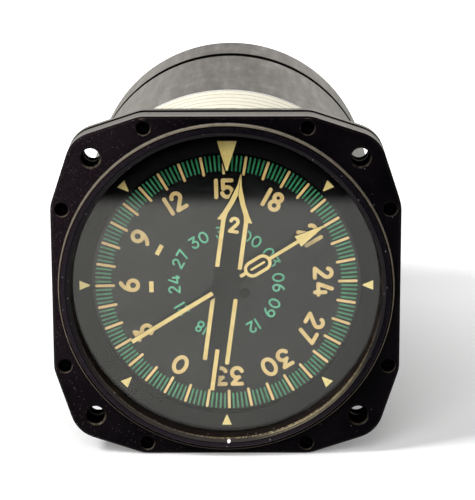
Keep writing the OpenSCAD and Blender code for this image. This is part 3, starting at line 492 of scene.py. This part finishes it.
def card_black(name):
    """The card's smooth black with a few flecks, painted black past its ticks as the mask's shadow."""
    look = Look(name, srgb(10, 11, 13), specular=0.4)
    speck = look.noise(0.5, detail=6, roughness=0.7)
    cloud = look.noise(9, detail=4, seed=2)
    base = look.mix(look.remap(cloud, 0.35, 0.7), srgb(6, 7, 9), srgb(13, 14, 15))
    base = look.mix(look.remap(speck, 0.45, 0.7, 0.0, 0.5), base, srgb(32, 32, 31))
    flecks = look.specks(size=2.6, seed=3, full=0.03, gone=0.05, strength=0.7)
    base = look.mix(flecks, base, srgb(124, 122, 112))
    mask_shadow = look.remap(look.radius(), TICK_OUT + 0.05, TICK_OUT + 0.25)
    look.set("Base Color", look.mix(mask_shadow, base, srgb(0, 0, 0)))
    look.set("Roughness", look.remap(speck, 0.3, 0.7, 0.06, 0.1))
    look.bump(speck, 0.004, strength=0.2)
    return look.material


def shaft_steel(name):
    """Steel shaft whose front end is blackened with the pointer."""
    look = Look(name, srgb(168, 168, 170), metallic=1.0, roughness=0.3)
    front = look.remap(look.depth(), POINTER_1_Y + 0.35, POINTER_1_Y + 0.3)
    grains = look.noise(0.5, detail=5, stretch=(1, 5, 1))
    base = look.mix(look.remap(grains, 0.3, 0.7), srgb(176, 176, 178), srgb(140, 140, 143))
    look.set("Base Color", look.mix(front, base, srgb(12, 12, 13)))
    look.set("Metallic", look.calc("SUBTRACT", 1.0, front))
    look.set("Roughness", look.blend(front, look.remap(grains, 0.3, 0.7, 0.24, 0.42), 0.09))
    look.bump(grains, 0.004)
    return look.material


def dial_paint(name, color, shade):
    """Paint of the dial's marks, a little mottled."""
    look = Look(name, srgb(*color), roughness=0.1, specular=0.8)
    fine = look.noise(0.35, detail=5, roughness=0.6)
    broad = look.noise(2.2, detail=3, seed=6)
    base = look.mix(look.remap(broad, 0.35, 0.65), srgb(*color), srgb(*shade))
    base = look.mix(look.remap(fine, 0.5, 0.78, 0.0, 0.35), base, srgb(*scaled(shade, 0.72)))
    look.set("Base Color", base)
    look.set("Roughness", look.remap(fine, 0.3, 0.7, 0.08, 0.14))
    look.bump(fine, 0.004)
    return look.material


def clear_glass(name):
    """Flat window glass, which mirrors a little less than plain glass and lets the lamps through."""
    look = Look(name, (1, 1, 1, 1), roughness=0.0)
    look.set("Transmission Weight", 1.0)
    look.set("IOR", 1.46)
    clear = look.node("ShaderNodeBsdfTransparent")
    rays = look.node("ShaderNodeLightPath")
    look.surface(look.either(rays.outputs["Is Shadow Ray"], look.shader.outputs[0], clear.outputs[0]))
    return look.material


def case_enamel(name):
    """Dark satin enamel of the body, streaked and scuffed, paler toward its sides as painted reflection,
    black with painted shade at the gasket and in the bolt holes, and black in the seam, a joint widened by
    painted shade.
    """
    look = Look(name, srgb(34, 31, 28), specular=0.45)
    place = look.split()
    y = place[1]
    aside = look.calc("ABSOLUTE", place[0])
    cloud = look.noise(22, detail=4, seed=1)
    streak = look.noise(2.6, detail=4, stretch=(1, 9, 1), seed=4)
    scuff = look.noise(3.2, detail=6, roughness=0.65, stretch=(1.3, 2.2, 1.3), seed=9)
    scratch = look.noise(0.5, detail=2, stretch=(14, 1, 14), seed=12)
    base = look.mix(look.remap(cloud, 0.35, 0.65), srgb(26, 23, 20), srgb(40, 36, 32))
    base = look.mix(look.remap(streak, 0.5, 0.75, 0.0, 0.4), base, srgb(66, 62, 57))
    base = look.mix(look.remap(scuff, 0.6, 0.72, 0.0, 0.45), base, srgb(104, 99, 92))
    # Paler toward the sides: painted reflection
    base = look.mix(look.fade(aside, 6, 30, 0.0, 0.4), base, srgb(126, 121, 113))
    rubs = look.times(look.remap(scratch, 0.66, 0.7), look.remap(cloud, 0.45, 0.6), 0.4)
    base = look.mix(rubs, base, srgb(130, 124, 114))
    worn = look.times(look.edges(0.3), look.remap(scuff, 0.4, 0.6), 0.4)
    base = look.mix(worn, base, srgb(140, 134, 124))

    # Black places, painted shade but for the seam's own joint: the bolt holes through the flange, the
    # flange's front face and the gasket's groove, and a band round the seam before the cover
    flange = look.remap(y, 1.0, 0.6)
    across = look.remap(look.facing(), 0.5, 0.3)
    holes = look.times(look.near([(BOLT_AT, BOLT_AT)], BOLT_R + 0.3), across, flange)
    front = look.times(look.remap(look.toward((0, -1, 0)), 0.5, 0.8), flange)
    gasket_shade = look.remap(y, BEZEL_BACK + 2.4, BEZEL_BACK + 1.9)
    black = look.most(look.band(y, SEAM_Y, SEAM_HALF, SEAM_SOFT), holes, front, gasket_shade)
    look.set("Base Color", look.mix(black, base, srgb(4, 4, 3)))
    scuffed = look.remap(scuff, 0.45, 0.68, 0.0, 0.4)
    sheen = look.calc("ADD", look.remap(streak, 0.35, 0.65, 0.2, 0.5), scuffed)
    sheen = look.times(sheen, look.fade(aside, 4, 30, 0.8, 2.0), look.calc("SUBTRACT", 1.0, black))
    look.set("Specular IOR Level", sheen)
    look.set("Roughness", look.remap(streak, 0.3, 0.7, 0.26, 0.46))
    look.bump(look.noise(0.4, detail=3, seed=5), 0.012, strength=0.25)
    return look.material


def label_cream(name):
    """Cream plate, faintly stained, with a whiter border."""
    look = Look(name, srgb(246, 241, 221), roughness=0.5)
    y = look.depth()
    stain = look.noise(5, detail=6, roughness=0.6)
    fleck = look.noise(0.6, detail=5, seed=7)
    base = look.mix(look.remap(stain, 0.5, 0.8, 0.0, 0.5), srgb(246, 241, 220), srgb(216, 205, 172))
    base = look.mix(look.remap(fleck, 0.64, 0.72, 0.0, 0.3), base, srgb(160, 150, 126))
    soft = 0.4
    back = look.remap(y, LABEL_BACK - LABEL_MARGIN - soft, LABEL_BACK - LABEL_MARGIN)
    front = look.remap(y, LABEL_FRONT + LABEL_MARGIN + soft, LABEL_FRONT + LABEL_MARGIN)
    look.set("Base Color", look.mix(look.most(back, front), base, srgb(252, 251, 246)))
    look.set("Roughness", look.remap(fleck, 0.3, 0.7, 0.42, 0.6))
    return look.material


def metal(name, color, roughness=0.35, grain=(1, 1, 1)):
    """Bare metal with a fine grain."""
    look = Look(name, srgb(*color), metallic=1.0)
    grains = look.noise(0.6, detail=5, roughness=0.65, stretch=grain)
    tarnish = look.noise(6, detail=4, seed=3)
    look.set("Base Color", look.mix(look.remap(tarnish, 0.4, 0.75), srgb(*color), srgb(*scaled(color, 0.72))))
    look.set("Roughness", look.remap(grains, 0.3, 0.7, roughness - 0.1, roughness + 0.12))
    look.bump(grains, 0.006)
    return look.material


def plain_solid(name, color, light, roughness=0.55, size=0.8, depth=0.02, specular=0.4):
    """Rubber, board or moulded plastic: two shades and a fine texture."""
    look = Look(name, srgb(*color), specular=specular)
    fine = look.noise(size, detail=6, roughness=0.65)
    look.set("Base Color", look.mix(look.remap(fine, 0.35, 0.7), srgb(*color), srgb(*light)))
    look.set("Roughness", look.remap(fine, 0.3, 0.7, roughness - 0.08, roughness + 0.1))
    look.bump(fine, depth)
    return look.material


def laminations(name):
    """Stacked iron sheets, seen as fine lines across the stack."""
    look = Look(name, srgb(110, 110, 114), metallic=0.85)
    sheet_t = 0.5
    phase = look.calc("FRACT", look.times(look.depth(), 1 / sheet_t))
    line = look.band(phase, 0.5, 0.34, 0.1)
    rust = look.noise(1.5, detail=5, seed=4)
    base = look.mix(line, srgb(58, 54, 52), srgb(122, 121, 124))
    look.set("Base Color", look.mix(look.remap(rust, 0.55, 0.8, 0.0, 0.5), base, srgb(104, 78, 56)))
    look.set("Roughness", look.remap(rust, 0.3, 0.7, 0.38, 0.55))
    look.bump(line, 0.05, strength=0.5)
    return look.material


# Every material by its name: the slots of the frame, and the looks that only this script uses
MATERIALS = {
    "black_paint": worn_black("black_paint"),
    "ring_paint": ring_black("ring_paint"),
    "seal_rubber": plain_solid("seal_rubber", (3, 3, 3), (10, 9, 8), specular=0.02),
    "black_steel": plain_solid("black_steel", (3, 3, 3), (8, 7, 7), roughness=0.6, depth=0.005,
                               specular=0.05),
    "window_glass": clear_glass("window_glass"),
    "dial_black": flat_black("dial_black", specular=0.08),
    "case_enamel": case_enamel("case_enamel"),
    "label_cream": label_cream("label_cream"),
    "steel": metal("steel", (168, 168, 170), roughness=0.3),
    "aluminium": metal("aluminium", (188, 189, 190), roughness=0.42, grain=(1, 1, 6)),
    "olive_alloy": metal("olive_alloy", (112, 112, 84), roughness=0.48),
    "insert_blue": plain_solid("insert_blue", (34, 42, 56), (52, 62, 78), roughness=0.45),
    "gold": metal("gold", (222, 184, 104), roughness=0.22),
    "wire": plain_solid("wire", (196, 188, 158), (170, 158, 122), size=1.5),
    "board": plain_solid("board", (112, 66, 30), (142, 90, 46), size=2.5),
    "brass": metal("brass", (196, 162, 92), roughness=0.3),
    "synchro_alloy": metal("synchro_alloy", (160, 160, 156), roughness=0.4),
    "lamination": laminations("lamination"),
    "motor_alloy": metal("motor_alloy", (146, 136, 112), roughness=0.42),
    "pointer_black": flat_black("pointer_black", (7, 7, 8), roughness=0.09, specular=0.16, dull_edges=True),
    "card_black": card_black("card_black"),
    "shaft_steel": shaft_steel("shaft_steel"),
    "cream_paint": dial_paint("cream_paint", (208, 184, 126), (198, 168, 106)),
    "mask_paint": dial_paint("mask_paint", (226, 210, 140), (214, 192, 118)),
    "pointer_paint": dial_paint("pointer_paint", (216, 195, 128), (206, 180, 110)),
    "green_paint": dial_paint("green_paint", (40, 124, 80), (28, 100, 62)),
    "pale_green_paint": dial_paint("pale_green_paint", (84, 170, 132), (70, 152, 116)),
    "rule_ink": flat_black("rule_ink", (52, 48, 44)),
}

# Nodes whose look differs from that of their slot
OWN_LOOKS = {
    "glass_retaining_ring": "ring_paint",
    "compass_card": "card_black",
    "pointer_1_shaft": "shaft_steel",
}


def dress_nodes():
    """Gives each carried-over CAD node the material of its slot, or its own."""
    for row in frame["record"]["subparts"]:
        node = frame["nodes"][row["node"]]
        node.data.materials.clear()
        node.data.materials.append(MATERIALS[OWN_LOOKS.get(row["node"], row["material_slot"])])


def add_object(name, data):
    """A new object in the scene."""
    made = bpy.data.objects.new(name, data)
    bpy.context.scene.collection.objects.link(made)
    return made


def add_mesh(name, points, faces, material):
    """A new mesh object of points in metres."""
    mesh = bpy.data.meshes.new(name)
    mesh.from_pydata(points, [], faces)
    mesh.materials.append(material)
    return add_object(name, mesh)


def turn(point, clock):
    """A point of the front view turned clockwise about the axis."""
    a = math.radians(clock)
    x, z = point
    return Vector((x * math.cos(a) + z * math.sin(a), z * math.cos(a) - x * math.sin(a)))


def arc(centre, r, start, end):
    """Points along an arc, by plain angles counted from the right and upward."""
    steps = 14
    angles = [math.radians(start + (end - start) * i / steps) for i in range(steps + 1)]
    return [Vector((centre[0] + r * math.cos(a), centre[1] + r * math.sin(a))) for a in angles]


def oval(centre, half_w, half_h):
    """Points round an oval, the first not repeated."""
    steps = 32
    angles = [math.tau * i / steps for i in range(steps)]
    return [Vector((centre[0] + half_w * math.cos(a), centre[1] + half_h * math.sin(a))) for a in angles]


class Marks:
    """Flat printed or painted shapes of one colour that stand on one face of a body, in one mesh.

    Their points are those of the front view, turned to a clock angle.
    """

    ROUND_END = (80, 60, 38, 18)

    def __init__(self, face_y, clock=0.0):
        self.face_y = face_y
        self.clock = clock
        self.verts = []
        self.faces = []

    def place(self, point, y):
        point = turn(point, self.clock)
        self.verts.append((point[0] * MM, y * MM, point[1] * MM))
        return len(self.verts) - 1

    def pairs(self, rows, closed=False, lift=0.0):
        """A slab between two lines, given as rows of a left and a right point."""
        front_y = self.face_y - PAINT - lift
        back_y = self.face_y + PAINT_SINK
        front = [(self.place(a, front_y), self.place(b, front_y)) for a, b in rows]
        back = [(self.place(a, back_y), self.place(b, back_y)) for a, b in rows]
        count = len(rows)
        for i in range(count if closed else count - 1):
            j = (i + 1) % count
            self.faces.append((front[i][0], front[j][0], front[j][1], front[i][1]))
            self.faces.append((back[i][0], back[i][1], back[j][1], back[j][0]))
            self.faces.append((front[i][0], back[i][0], back[j][0], front[j][0]))
            self.faces.append((front[i][1], front[j][1], back[j][1], back[i][1]))
        if not closed:
            for i in (0, -1):
                self.faces.append((front[i][0], front[i][1], back[i][1], back[i][0]))

    def rounded(self, p, outward, side):
        """Rows of a half-round end, from the tip inward."""
        rows = []
        for angle in self.ROUND_END:
            out = outward * math.sin(math.radians(angle))
            wide = side * math.cos(math.radians(angle))
            rows.append((p + out + wide, p + out - wide))
        return rows

    def stroke(self, points, width, closed=False, round_ends=True, lift=0.0):
        """A line of one width along the points."""
        half = width / 2
        points = [Vector(p) for p in points]
        last = len(points) - 1
        rows = []
        for i, p in enumerate(points):
            before = points[i - 1] if closed or i else p
            after = points[(i + 1) % len(points)] if closed or i < last else p
            along = (after - before).normalized() * half
            side = Vector((-along[1], along[0]))
            capped = round_ends and not closed
            if capped and i == 0:
                rows += self.rounded(p, -along, side)
            rows.append((p + side, p - side))
            if capped and i == last:
                rows += reversed(self.rounded(p, along, side))
        self.pairs(rows, closed, lift)

    def polygon(self, points):
        """A slab with that outline."""
        front = [self.place(p, self.face_y - PAINT) for p in points]
        back = [self.place(p, self.face_y + PAINT_SINK) for p in points]
        self.faces.append(tuple(front))
        self.faces.append(tuple(reversed(back)))
        count = len(points)
        for i in range(count):
            j = (i + 1) % count
            self.faces.append((front[i], back[i], back[j], front[j]))

    def piece(self, name, body, material):
        """Makes the shapes one closed piece that rides on a body, with its faces turned outward."""
        made = add_mesh(name, self.verts, self.faces, MATERIALS[material])
        shape = bmesh.new()
        shape.from_mesh(made.data)
        bmesh.ops.recalc_face_normals(shape, faces=shape.faces)
        shape.to_mesh(made.data)
        shape.free()
        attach(made, body)


# Digits as strokes on a field 4 high, each with its width between the outer strokes' middles.
# A loop closes on itself.
def six():
    return [("loop", oval((0, -0.85), 1.19, 1.19)), ("line", arc((2.08, -0.85), 3.27, 180, 117.5))]


DIGITS = {
    "0": (2.8, [("loop", oval((0, 0), 1.4, 2.0))]),
    "1": (0.0, [("line", [(0, 2), (0, -2)])]),
    "2": (2.3, [("line", arc((-0.05, 0.95), 1.05, 168, -39) + [Vector((-1.12, -1.95))]),
                ("line", [(-1.12, -2), (1.12, -2)])]),
    "3": (2.4, [("line", [(-1.2, 2), (1.05, 2)]), ("line", [(1.05, 2), (-0.3, 0.44)]),
                ("line", arc((-0.08, -0.78), 1.22, 112, -160))]),
    "4": (2.65, [("line", [(-0.1, 2), (-1.3, -1.2)]), ("line", [(-1.3, -1.2), (1.35, -1.2)]),
                 ("line", [(0.75, 0.45), (0.75, -2)])]),
    "5": (2.2, [("line", [(-1.0, 2), (1.05, 2)]), ("line", [(-1.0, 2), (-0.98, 0.15)]),
                ("line", arc((-0.02, -0.8), 1.2, 140, -168))]),
    "6": (2.38, six()),
    "7": (2.4, [("line", [(-1.2, 2), (1.2, 2)]), ("line", [(1.2, 2), (-0.4, -2)])]),
    "8": (2.1, [("loop", oval((0, 1.1), 0.92, 0.9)), ("loop", oval((0, -0.95), 1.05, 1.05))]),
    "9": (2.38, [(kind, [Vector((-p[0], -p[1])) for p in points]) for kind, points in six()]),
}


def numeral(marks, text, centre_r, clock, scale, stroke, gap=0.0):
    """A plain number whose top faces outward, centred at a distance and clock angle."""
    widths = [DIGITS[c][0] * scale + stroke for c in text]
    left = -(sum(widths) + gap * (len(text) - 1)) / 2
    for character, width in zip(text, widths):
        middle = left + width / 2
        for order, (kind, points) in enumerate(DIGITS[character][1]):
            placed = [turn((middle + p[0] * scale, centre_r + p[1] * scale), clock) for p in points]
            marks.stroke(placed, stroke, closed=kind == "loop", lift=order * STROKE_STEP)
        left += width + gap


def print_card():
    """Ticks and numbers of the compass card, and the bars that underline 6 and 9."""
    cream = Marks(CARD_Y)
    green = Marks(CARD_Y)
    pale = Marks(CARD_Y)
    bars = Marks(CARD_Y)
    for degree in range(0, 360, 2):
        clock = degree - TOP_HEADING
        major = degree % 10 == 0
        marks, length, width = (cream, MAJOR_LEN, MAJOR_W) if major else (green, MINOR_LEN, MINOR_W)
        ends = [polar(TICK_OUT - width / 2, clock), polar(TICK_OUT - length + width / 2, clock)]
        marks.stroke(ends, width)
    for tens in range(0, 36, 3):
        clock = tens * 10 - TOP_HEADING
        numeral(cream, str(tens), NUMERAL_R, clock, 1.0, NUMERAL_STROKE, NUMERAL_GAP)
        opposite = (tens + 18) % 36
        numeral(pale, f"{opposite:02d}", INNER_R, clock, INNER_SCALE, INNER_STROKE, INNER_GAP)
    for heading in (60, 90):
        ends = [(UNDERLINE_ASIDE + side * UNDERLINE_LEN / 2, UNDERLINE_R) for side in (-1, 1)]
        bars.stroke([turn(p, heading - TOP_HEADING) for p in ends], UNDERLINE_W, round_ends=False)
    bars.piece("card_underlines", "card", "pointer_paint")
    cream.piece("card_cream_marks", "card", "cream_paint")
    green.piece("card_green_marks", "card", "green_paint")
    pale.piece("card_inner_numbers", "card", "pale_green_paint")


def print_mask():
    """Small triangles every 45 degrees and the long top index."""
    base_r = 34.8
    small_tip = 32.3
    small_half = 1.15
    index_tip = 27.75
    index_half = 2.3
    index_lean = 0.5
    marks = Marks(MASK_Y)

    def triangle(half, tip, tip_half, clock):
        outline = [(-half, base_r), (half, base_r), (tip_half, tip), (-tip_half, tip)]
        marks.polygon([turn(p, clock) for p in outline])

    for clock in range(45, 360, 45):
        triangle(small_half, small_tip, 0.1, clock)
    triangle(index_half, index_tip, 0.16, index_lean)
    marks.piece("mask_marks", "housing", "mask_paint")


def paint_pointer_1():
    """Single bar: arrowhead, oval with a bar inside, and tail."""
    tip = 27.15
    barb = 20.0
    barb_half = 1.45
    bar_w = 0.8
    oval_at = 8.8
    oval_w = 0.75
    half_w = 2.05 - oval_w / 2
    half_h = 3.5 - oval_w / 2
    hub_side = 3.9
    marks = Marks(POINTER_1_Y, POINTER_1_AT)
    marks.polygon([(-0.12, tip), (-barb_half, barb), (barb_half, barb), (0.12, tip)])
    marks.stroke([(0, barb + 0.6), (0, oval_at + 3.0)], bar_w, round_ends=False, lift=STROKE_STEP)
    straight = half_h - half_w
    ring = arc((0, oval_at + straight), half_w, 0, 180) + arc((0, oval_at - straight), half_w, 180, 360)
    marks.stroke(ring, oval_w, closed=True)
    marks.stroke([(0, oval_at + 1.75), (0, oval_at - 1.75)], 0.5)
    marks.stroke([(0, oval_at - 3.3), (0, hub_side)], bar_w, round_ends=False, lift=STROKE_STEP)
    marks.stroke([(0, -3.85), (0, -26.6)], 1.0, round_ends=False)
    marks.piece("pointer_1_paint", "pointer_1_body", "pointer_paint")


def paint_pointer_2():
    """Two bars under an open arrowhead, the figure 2 and a single tail."""
    bar = 2.69
    bar_w = 1.0
    bar_end = -19.25
    outer = [(0.08, 27.1), (0.5, 24.2), (1.9, 20.0), (3.1, 17.4), (4.2, 15.5)]
    inner = [(0.04, 26.6), (0.06, 21.85), (0.85, 19.6), (1.95, 17.1), (2.2, 15.5)]
    marks = Marks(POINTER_2_Y, POINTER_2_AT)
    for side in (-1, 1):
        rows = [(Vector((side * a[0], a[1])), Vector((side * b[0], b[1]))) for a, b in zip(outer, inner)]
        marks.pairs(rows, lift=STROKE_STEP * (1.5 + side / 2))
        marks.stroke([(side * bar, 4.0), (side * bar, 16.2)], bar_w, round_ends=False)
    marks.stroke([(-bar, -3.7), (-bar, bar_end)], bar_w, round_ends=False)
    marks.stroke([(bar, -3.75), (bar, bar_end)], bar_w)
    marks.stroke([(0, -16.3), (0, -26.6)], bar_w, round_ends=False)
    marks.piece("pointer_2_paint", "pointer_2_body", "pointer_paint")
    figure = Marks(POINTER_2_Y)
    numeral(figure, "2", 14.6, POINTER_2_AT, 0.8, 0.8)
    figure.piece("pointer_2_figure", "pointer_2_body", "pointer_paint")


def rule_label():
    """Plain ruled lines and a frame on the blank plate round the body's top."""
    line_w = 0.18
    frame_w = 0.3
    lift = 0.02
    sink = 0.05
    first = -33.5
    last = 29.5
    gaps = 6
    steps = 40
    points = []
    faces = []

    def curved_line(y, start, end, width):
        corners = [(-sink, -width / 2), (lift, -width / 2), (lift, width / 2), (-sink, width / 2)]
        bottom = len(points)
        for i in range(steps + 1):
            clock = start + (end - start) * i / steps
            for out, along in corners:
                x, z = polar(CASE_R + out, clock)
                points.append((x * MM, (y + along) * MM, z * MM))
        for i in range(steps):
            a = bottom + 4 * i
            for k in range(4):
                faces.append((a + k, a + (k + 1) % 4, a + 4 + (k + 1) % 4, a + 4 + k))
        faces.append(tuple(bottom + k for k in range(4)))
        faces.append(tuple(bottom + 4 * steps + 3 - k for k in range(4)))

    front_line = LABEL_FRONT + LABEL_MARGIN
    back_line = LABEL_BACK - LABEL_MARGIN
    for y in (front_line, back_line):
        curved_line(y, first, last, frame_w)
    for i in range(1, gaps):
        curved_line(front_line + i * (back_line - front_line) / gaps, first + 2, last - 2, line_w)
    made = add_mesh("label_rules", points, faces, MATERIALS["rule_ink"])
    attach(made, "housing")


def add_camera():
    """The photograph's view."""
    yaw, pitch, roll = (math.radians(a) for a in (CAMERA_YAW, CAMERA_PITCH, CAMERA_ROLL))
    ahead = Vector((math.sin(yaw) * math.cos(pitch), math.cos(yaw) * math.cos(pitch), -math.sin(pitch)))
    level = Vector((math.cos(yaw), -math.sin(yaw), 0))
    upright = level.cross(ahead)
    right = level * math.cos(roll) + upright * math.sin(roll)
    up = upright * math.cos(roll) - level * math.sin(roll)
    eye = Vector((0, AIM_Y, 0)) - ahead * CAMERA_DISTANCE - right * CAMERA_ASIDE - up * CAMERA_BELOW
    data = bpy.data.cameras.new("camera")
    data.sensor_width = SENSOR
    data.lens = FOCAL_PIXELS * SENSOR / IMAGE_HEIGHT
    camera = add_object("camera", data)
    camera.matrix_world = Matrix.Translation(eye * MM) @ Matrix((right, up, -ahead)).transposed().to_4x4()
    bpy.context.scene.camera = camera


def flat_sheet(name, half_w, y_range, height_at, material):
    """A rectangle of stage, at the height that a function gives for its depth, in metres."""
    start, end = y_range
    outline = [(-half_w, start), (half_w, start), (half_w, end), (-half_w, end)]
    sheet = add_mesh(name, [(x, y, height_at(y)) for x, y in outline], [(0, 1, 2, 3)], material)
    return sheet


def floor_height(y):
    """The object rests on its flange and its cover, so its axis leans a little against the floor."""
    return -FLANGE_HALF * MM + FLOOR_SLOPE * y - FLOOR_GAP


def add_floor():
    """White floor: lit as paper is, with a painted glow to the camera that grows away from the object's
    shadow and toward the back.
    """
    shadow_at = (20, 60)
    shadow_r = 110
    white_r = 260
    look = Look("floor_white", FLOOR_GREY, roughness=0.9, specular=0.0)
    rays = look.node("ShaderNodeLightPath")
    place = look.split()
    clear = look.fade(look.away(place[0], place[1], shadow_at), shadow_r, white_r, 0.0, 0.9)
    camera_glow = look.most(clear, look.remap(place[1], 10, 120, 0.2, 0.42))
    glow = look.node("ShaderNodeEmission")
    look.feed(glow.inputs["Strength"], look.times(rays.outputs["Is Camera Ray"], camera_glow))
    mirrored = look.most(rays.outputs["Is Glossy Ray"], rays.outputs["Is Transmission Ray"])
    # Painted light: in reflections the floor is lighter at the left than at the right
    tint = look.mix(look.remap(place[0], -60, 60), (0.96, 0.95, 0.88, 1), (0.75, 0.76, 0.72, 1))
    look.set("Base Color", look.mix(mirrored, FLOOR_GREY, tint))
    both = look.node("ShaderNodeAddShader")
    look.feed(both.inputs[0], look.shader.outputs[0])
    look.feed(both.inputs[1], glow.outputs[0])
    look.surface(both.outputs[0])
    flat_sheet("floor", 4, (-3, 6), floor_height, look.material)


def add_dark_cards():
    """The dark room in front, which only glossy faces and the glass see."""
    lift = 0.002
    wall_lean = 0.001
    look = Look("dark_room", (0, 0, 0, 1), roughness=1.0, specular=0.0)
    clear = look.node("ShaderNodeBsdfTransparent")
    past_edge = look.fade(look.depth(), (ROOM_NEAR - ROOM_SOFT) / MM, ROOM_NEAR / MM)
    look.surface(look.either(past_edge, look.shader.outputs[0], clear.outputs[0]))

    def above_floor(y):
        return floor_height(y) + lift

    def up_the_wall(y):
        return ROOM_TOP if y < ROOM_FAR else floor_height(ROOM_FAR)

    wall = (ROOM_FAR, ROOM_FAR - wall_lean)
    lying = flat_sheet("dark_card_lying", ROOM_HALF_W, (ROOM_FAR, ROOM_NEAR), above_floor, look.material)
    standing = flat_sheet("dark_card_standing", ROOM_HALF_W, wall, up_the_wall, look.material)
    for card in (lying, standing):
        card.visible_camera = False
        card.visible_diffuse = False
        card.visible_volume_scatter = False
        card.visible_shadow = False


def add_world():
    """White room, brighter to the camera and in reflections than as light, and warm in reflections."""
    as_light = 0.3
    as_seen = 1.0
    world = bpy.data.worlds.new("world")
    bpy.context.scene.world = world
    world.use_nodes = True
    tree = world.node_tree
    background = tree.nodes["Background"]
    rays = tree.nodes.new("ShaderNodeLightPath")
    seen = rays.outputs["Is Camera Ray"]
    for name in ("Is Glossy Ray", "Is Transmission Ray"):
        join = tree.nodes.new("ShaderNodeMath")
        join.operation = "MAXIMUM"
        tree.links.new(seen, join.inputs[0])
        tree.links.new(rays.outputs[name], join.inputs[1])
        seen = join.outputs[0]
    level = tree.nodes.new("ShaderNodeMapRange")
    tree.links.new(seen, level.inputs[0])
    level.inputs["To Min"].default_value = as_light
    level.inputs["To Max"].default_value = as_seen
    tree.links.new(level.outputs[0], background.inputs["Strength"])
    tint = tree.nodes.new("ShaderNodeMix")
    tint.data_type = "RGBA"
    tint.inputs[6].default_value = (1, 1, 1, 1)
    tint.inputs[7].default_value = (1, 0.955, 0.9, 1)
    tree.links.new(rays.outputs["Is Glossy Ray"], tint.inputs[0])
    tree.links.new(tint.outputs[2], background.inputs["Color"])


def add_lamp(name, place, aim, size, power):
    """A square lamp, placed and aimed in metres."""
    data = bpy.data.lights.new(name, "AREA")
    data.size = size
    data.energy = power
    lamp = add_object(name, data)
    lamp.location = place
    lamp.rotation_euler = (Vector(aim) - Vector(place)).to_track_quat("-Z", "Y").to_euler()


def light_stage():
    """A soft key from the upper left and a broad fill from the front."""
    add_lamp("key", place=(-1.6, -0.85, 1.9), aim=(0.0, 0.05, 0.0), size=0.6, power=47.0)
    add_lamp("fill", place=(-0.5, -2.2, 1.7), aim=(0.0, 0.0, 0.0), size=1.6, power=44.0)


bpy.context.scene.view_settings.view_transform = "Standard"
add_camera()
add_world()
add_floor()
add_dark_cards()
light_stage()
dress_nodes()
print_card()
print_mask()
paint_pointer_1()
paint_pointer_2()
rule_label()
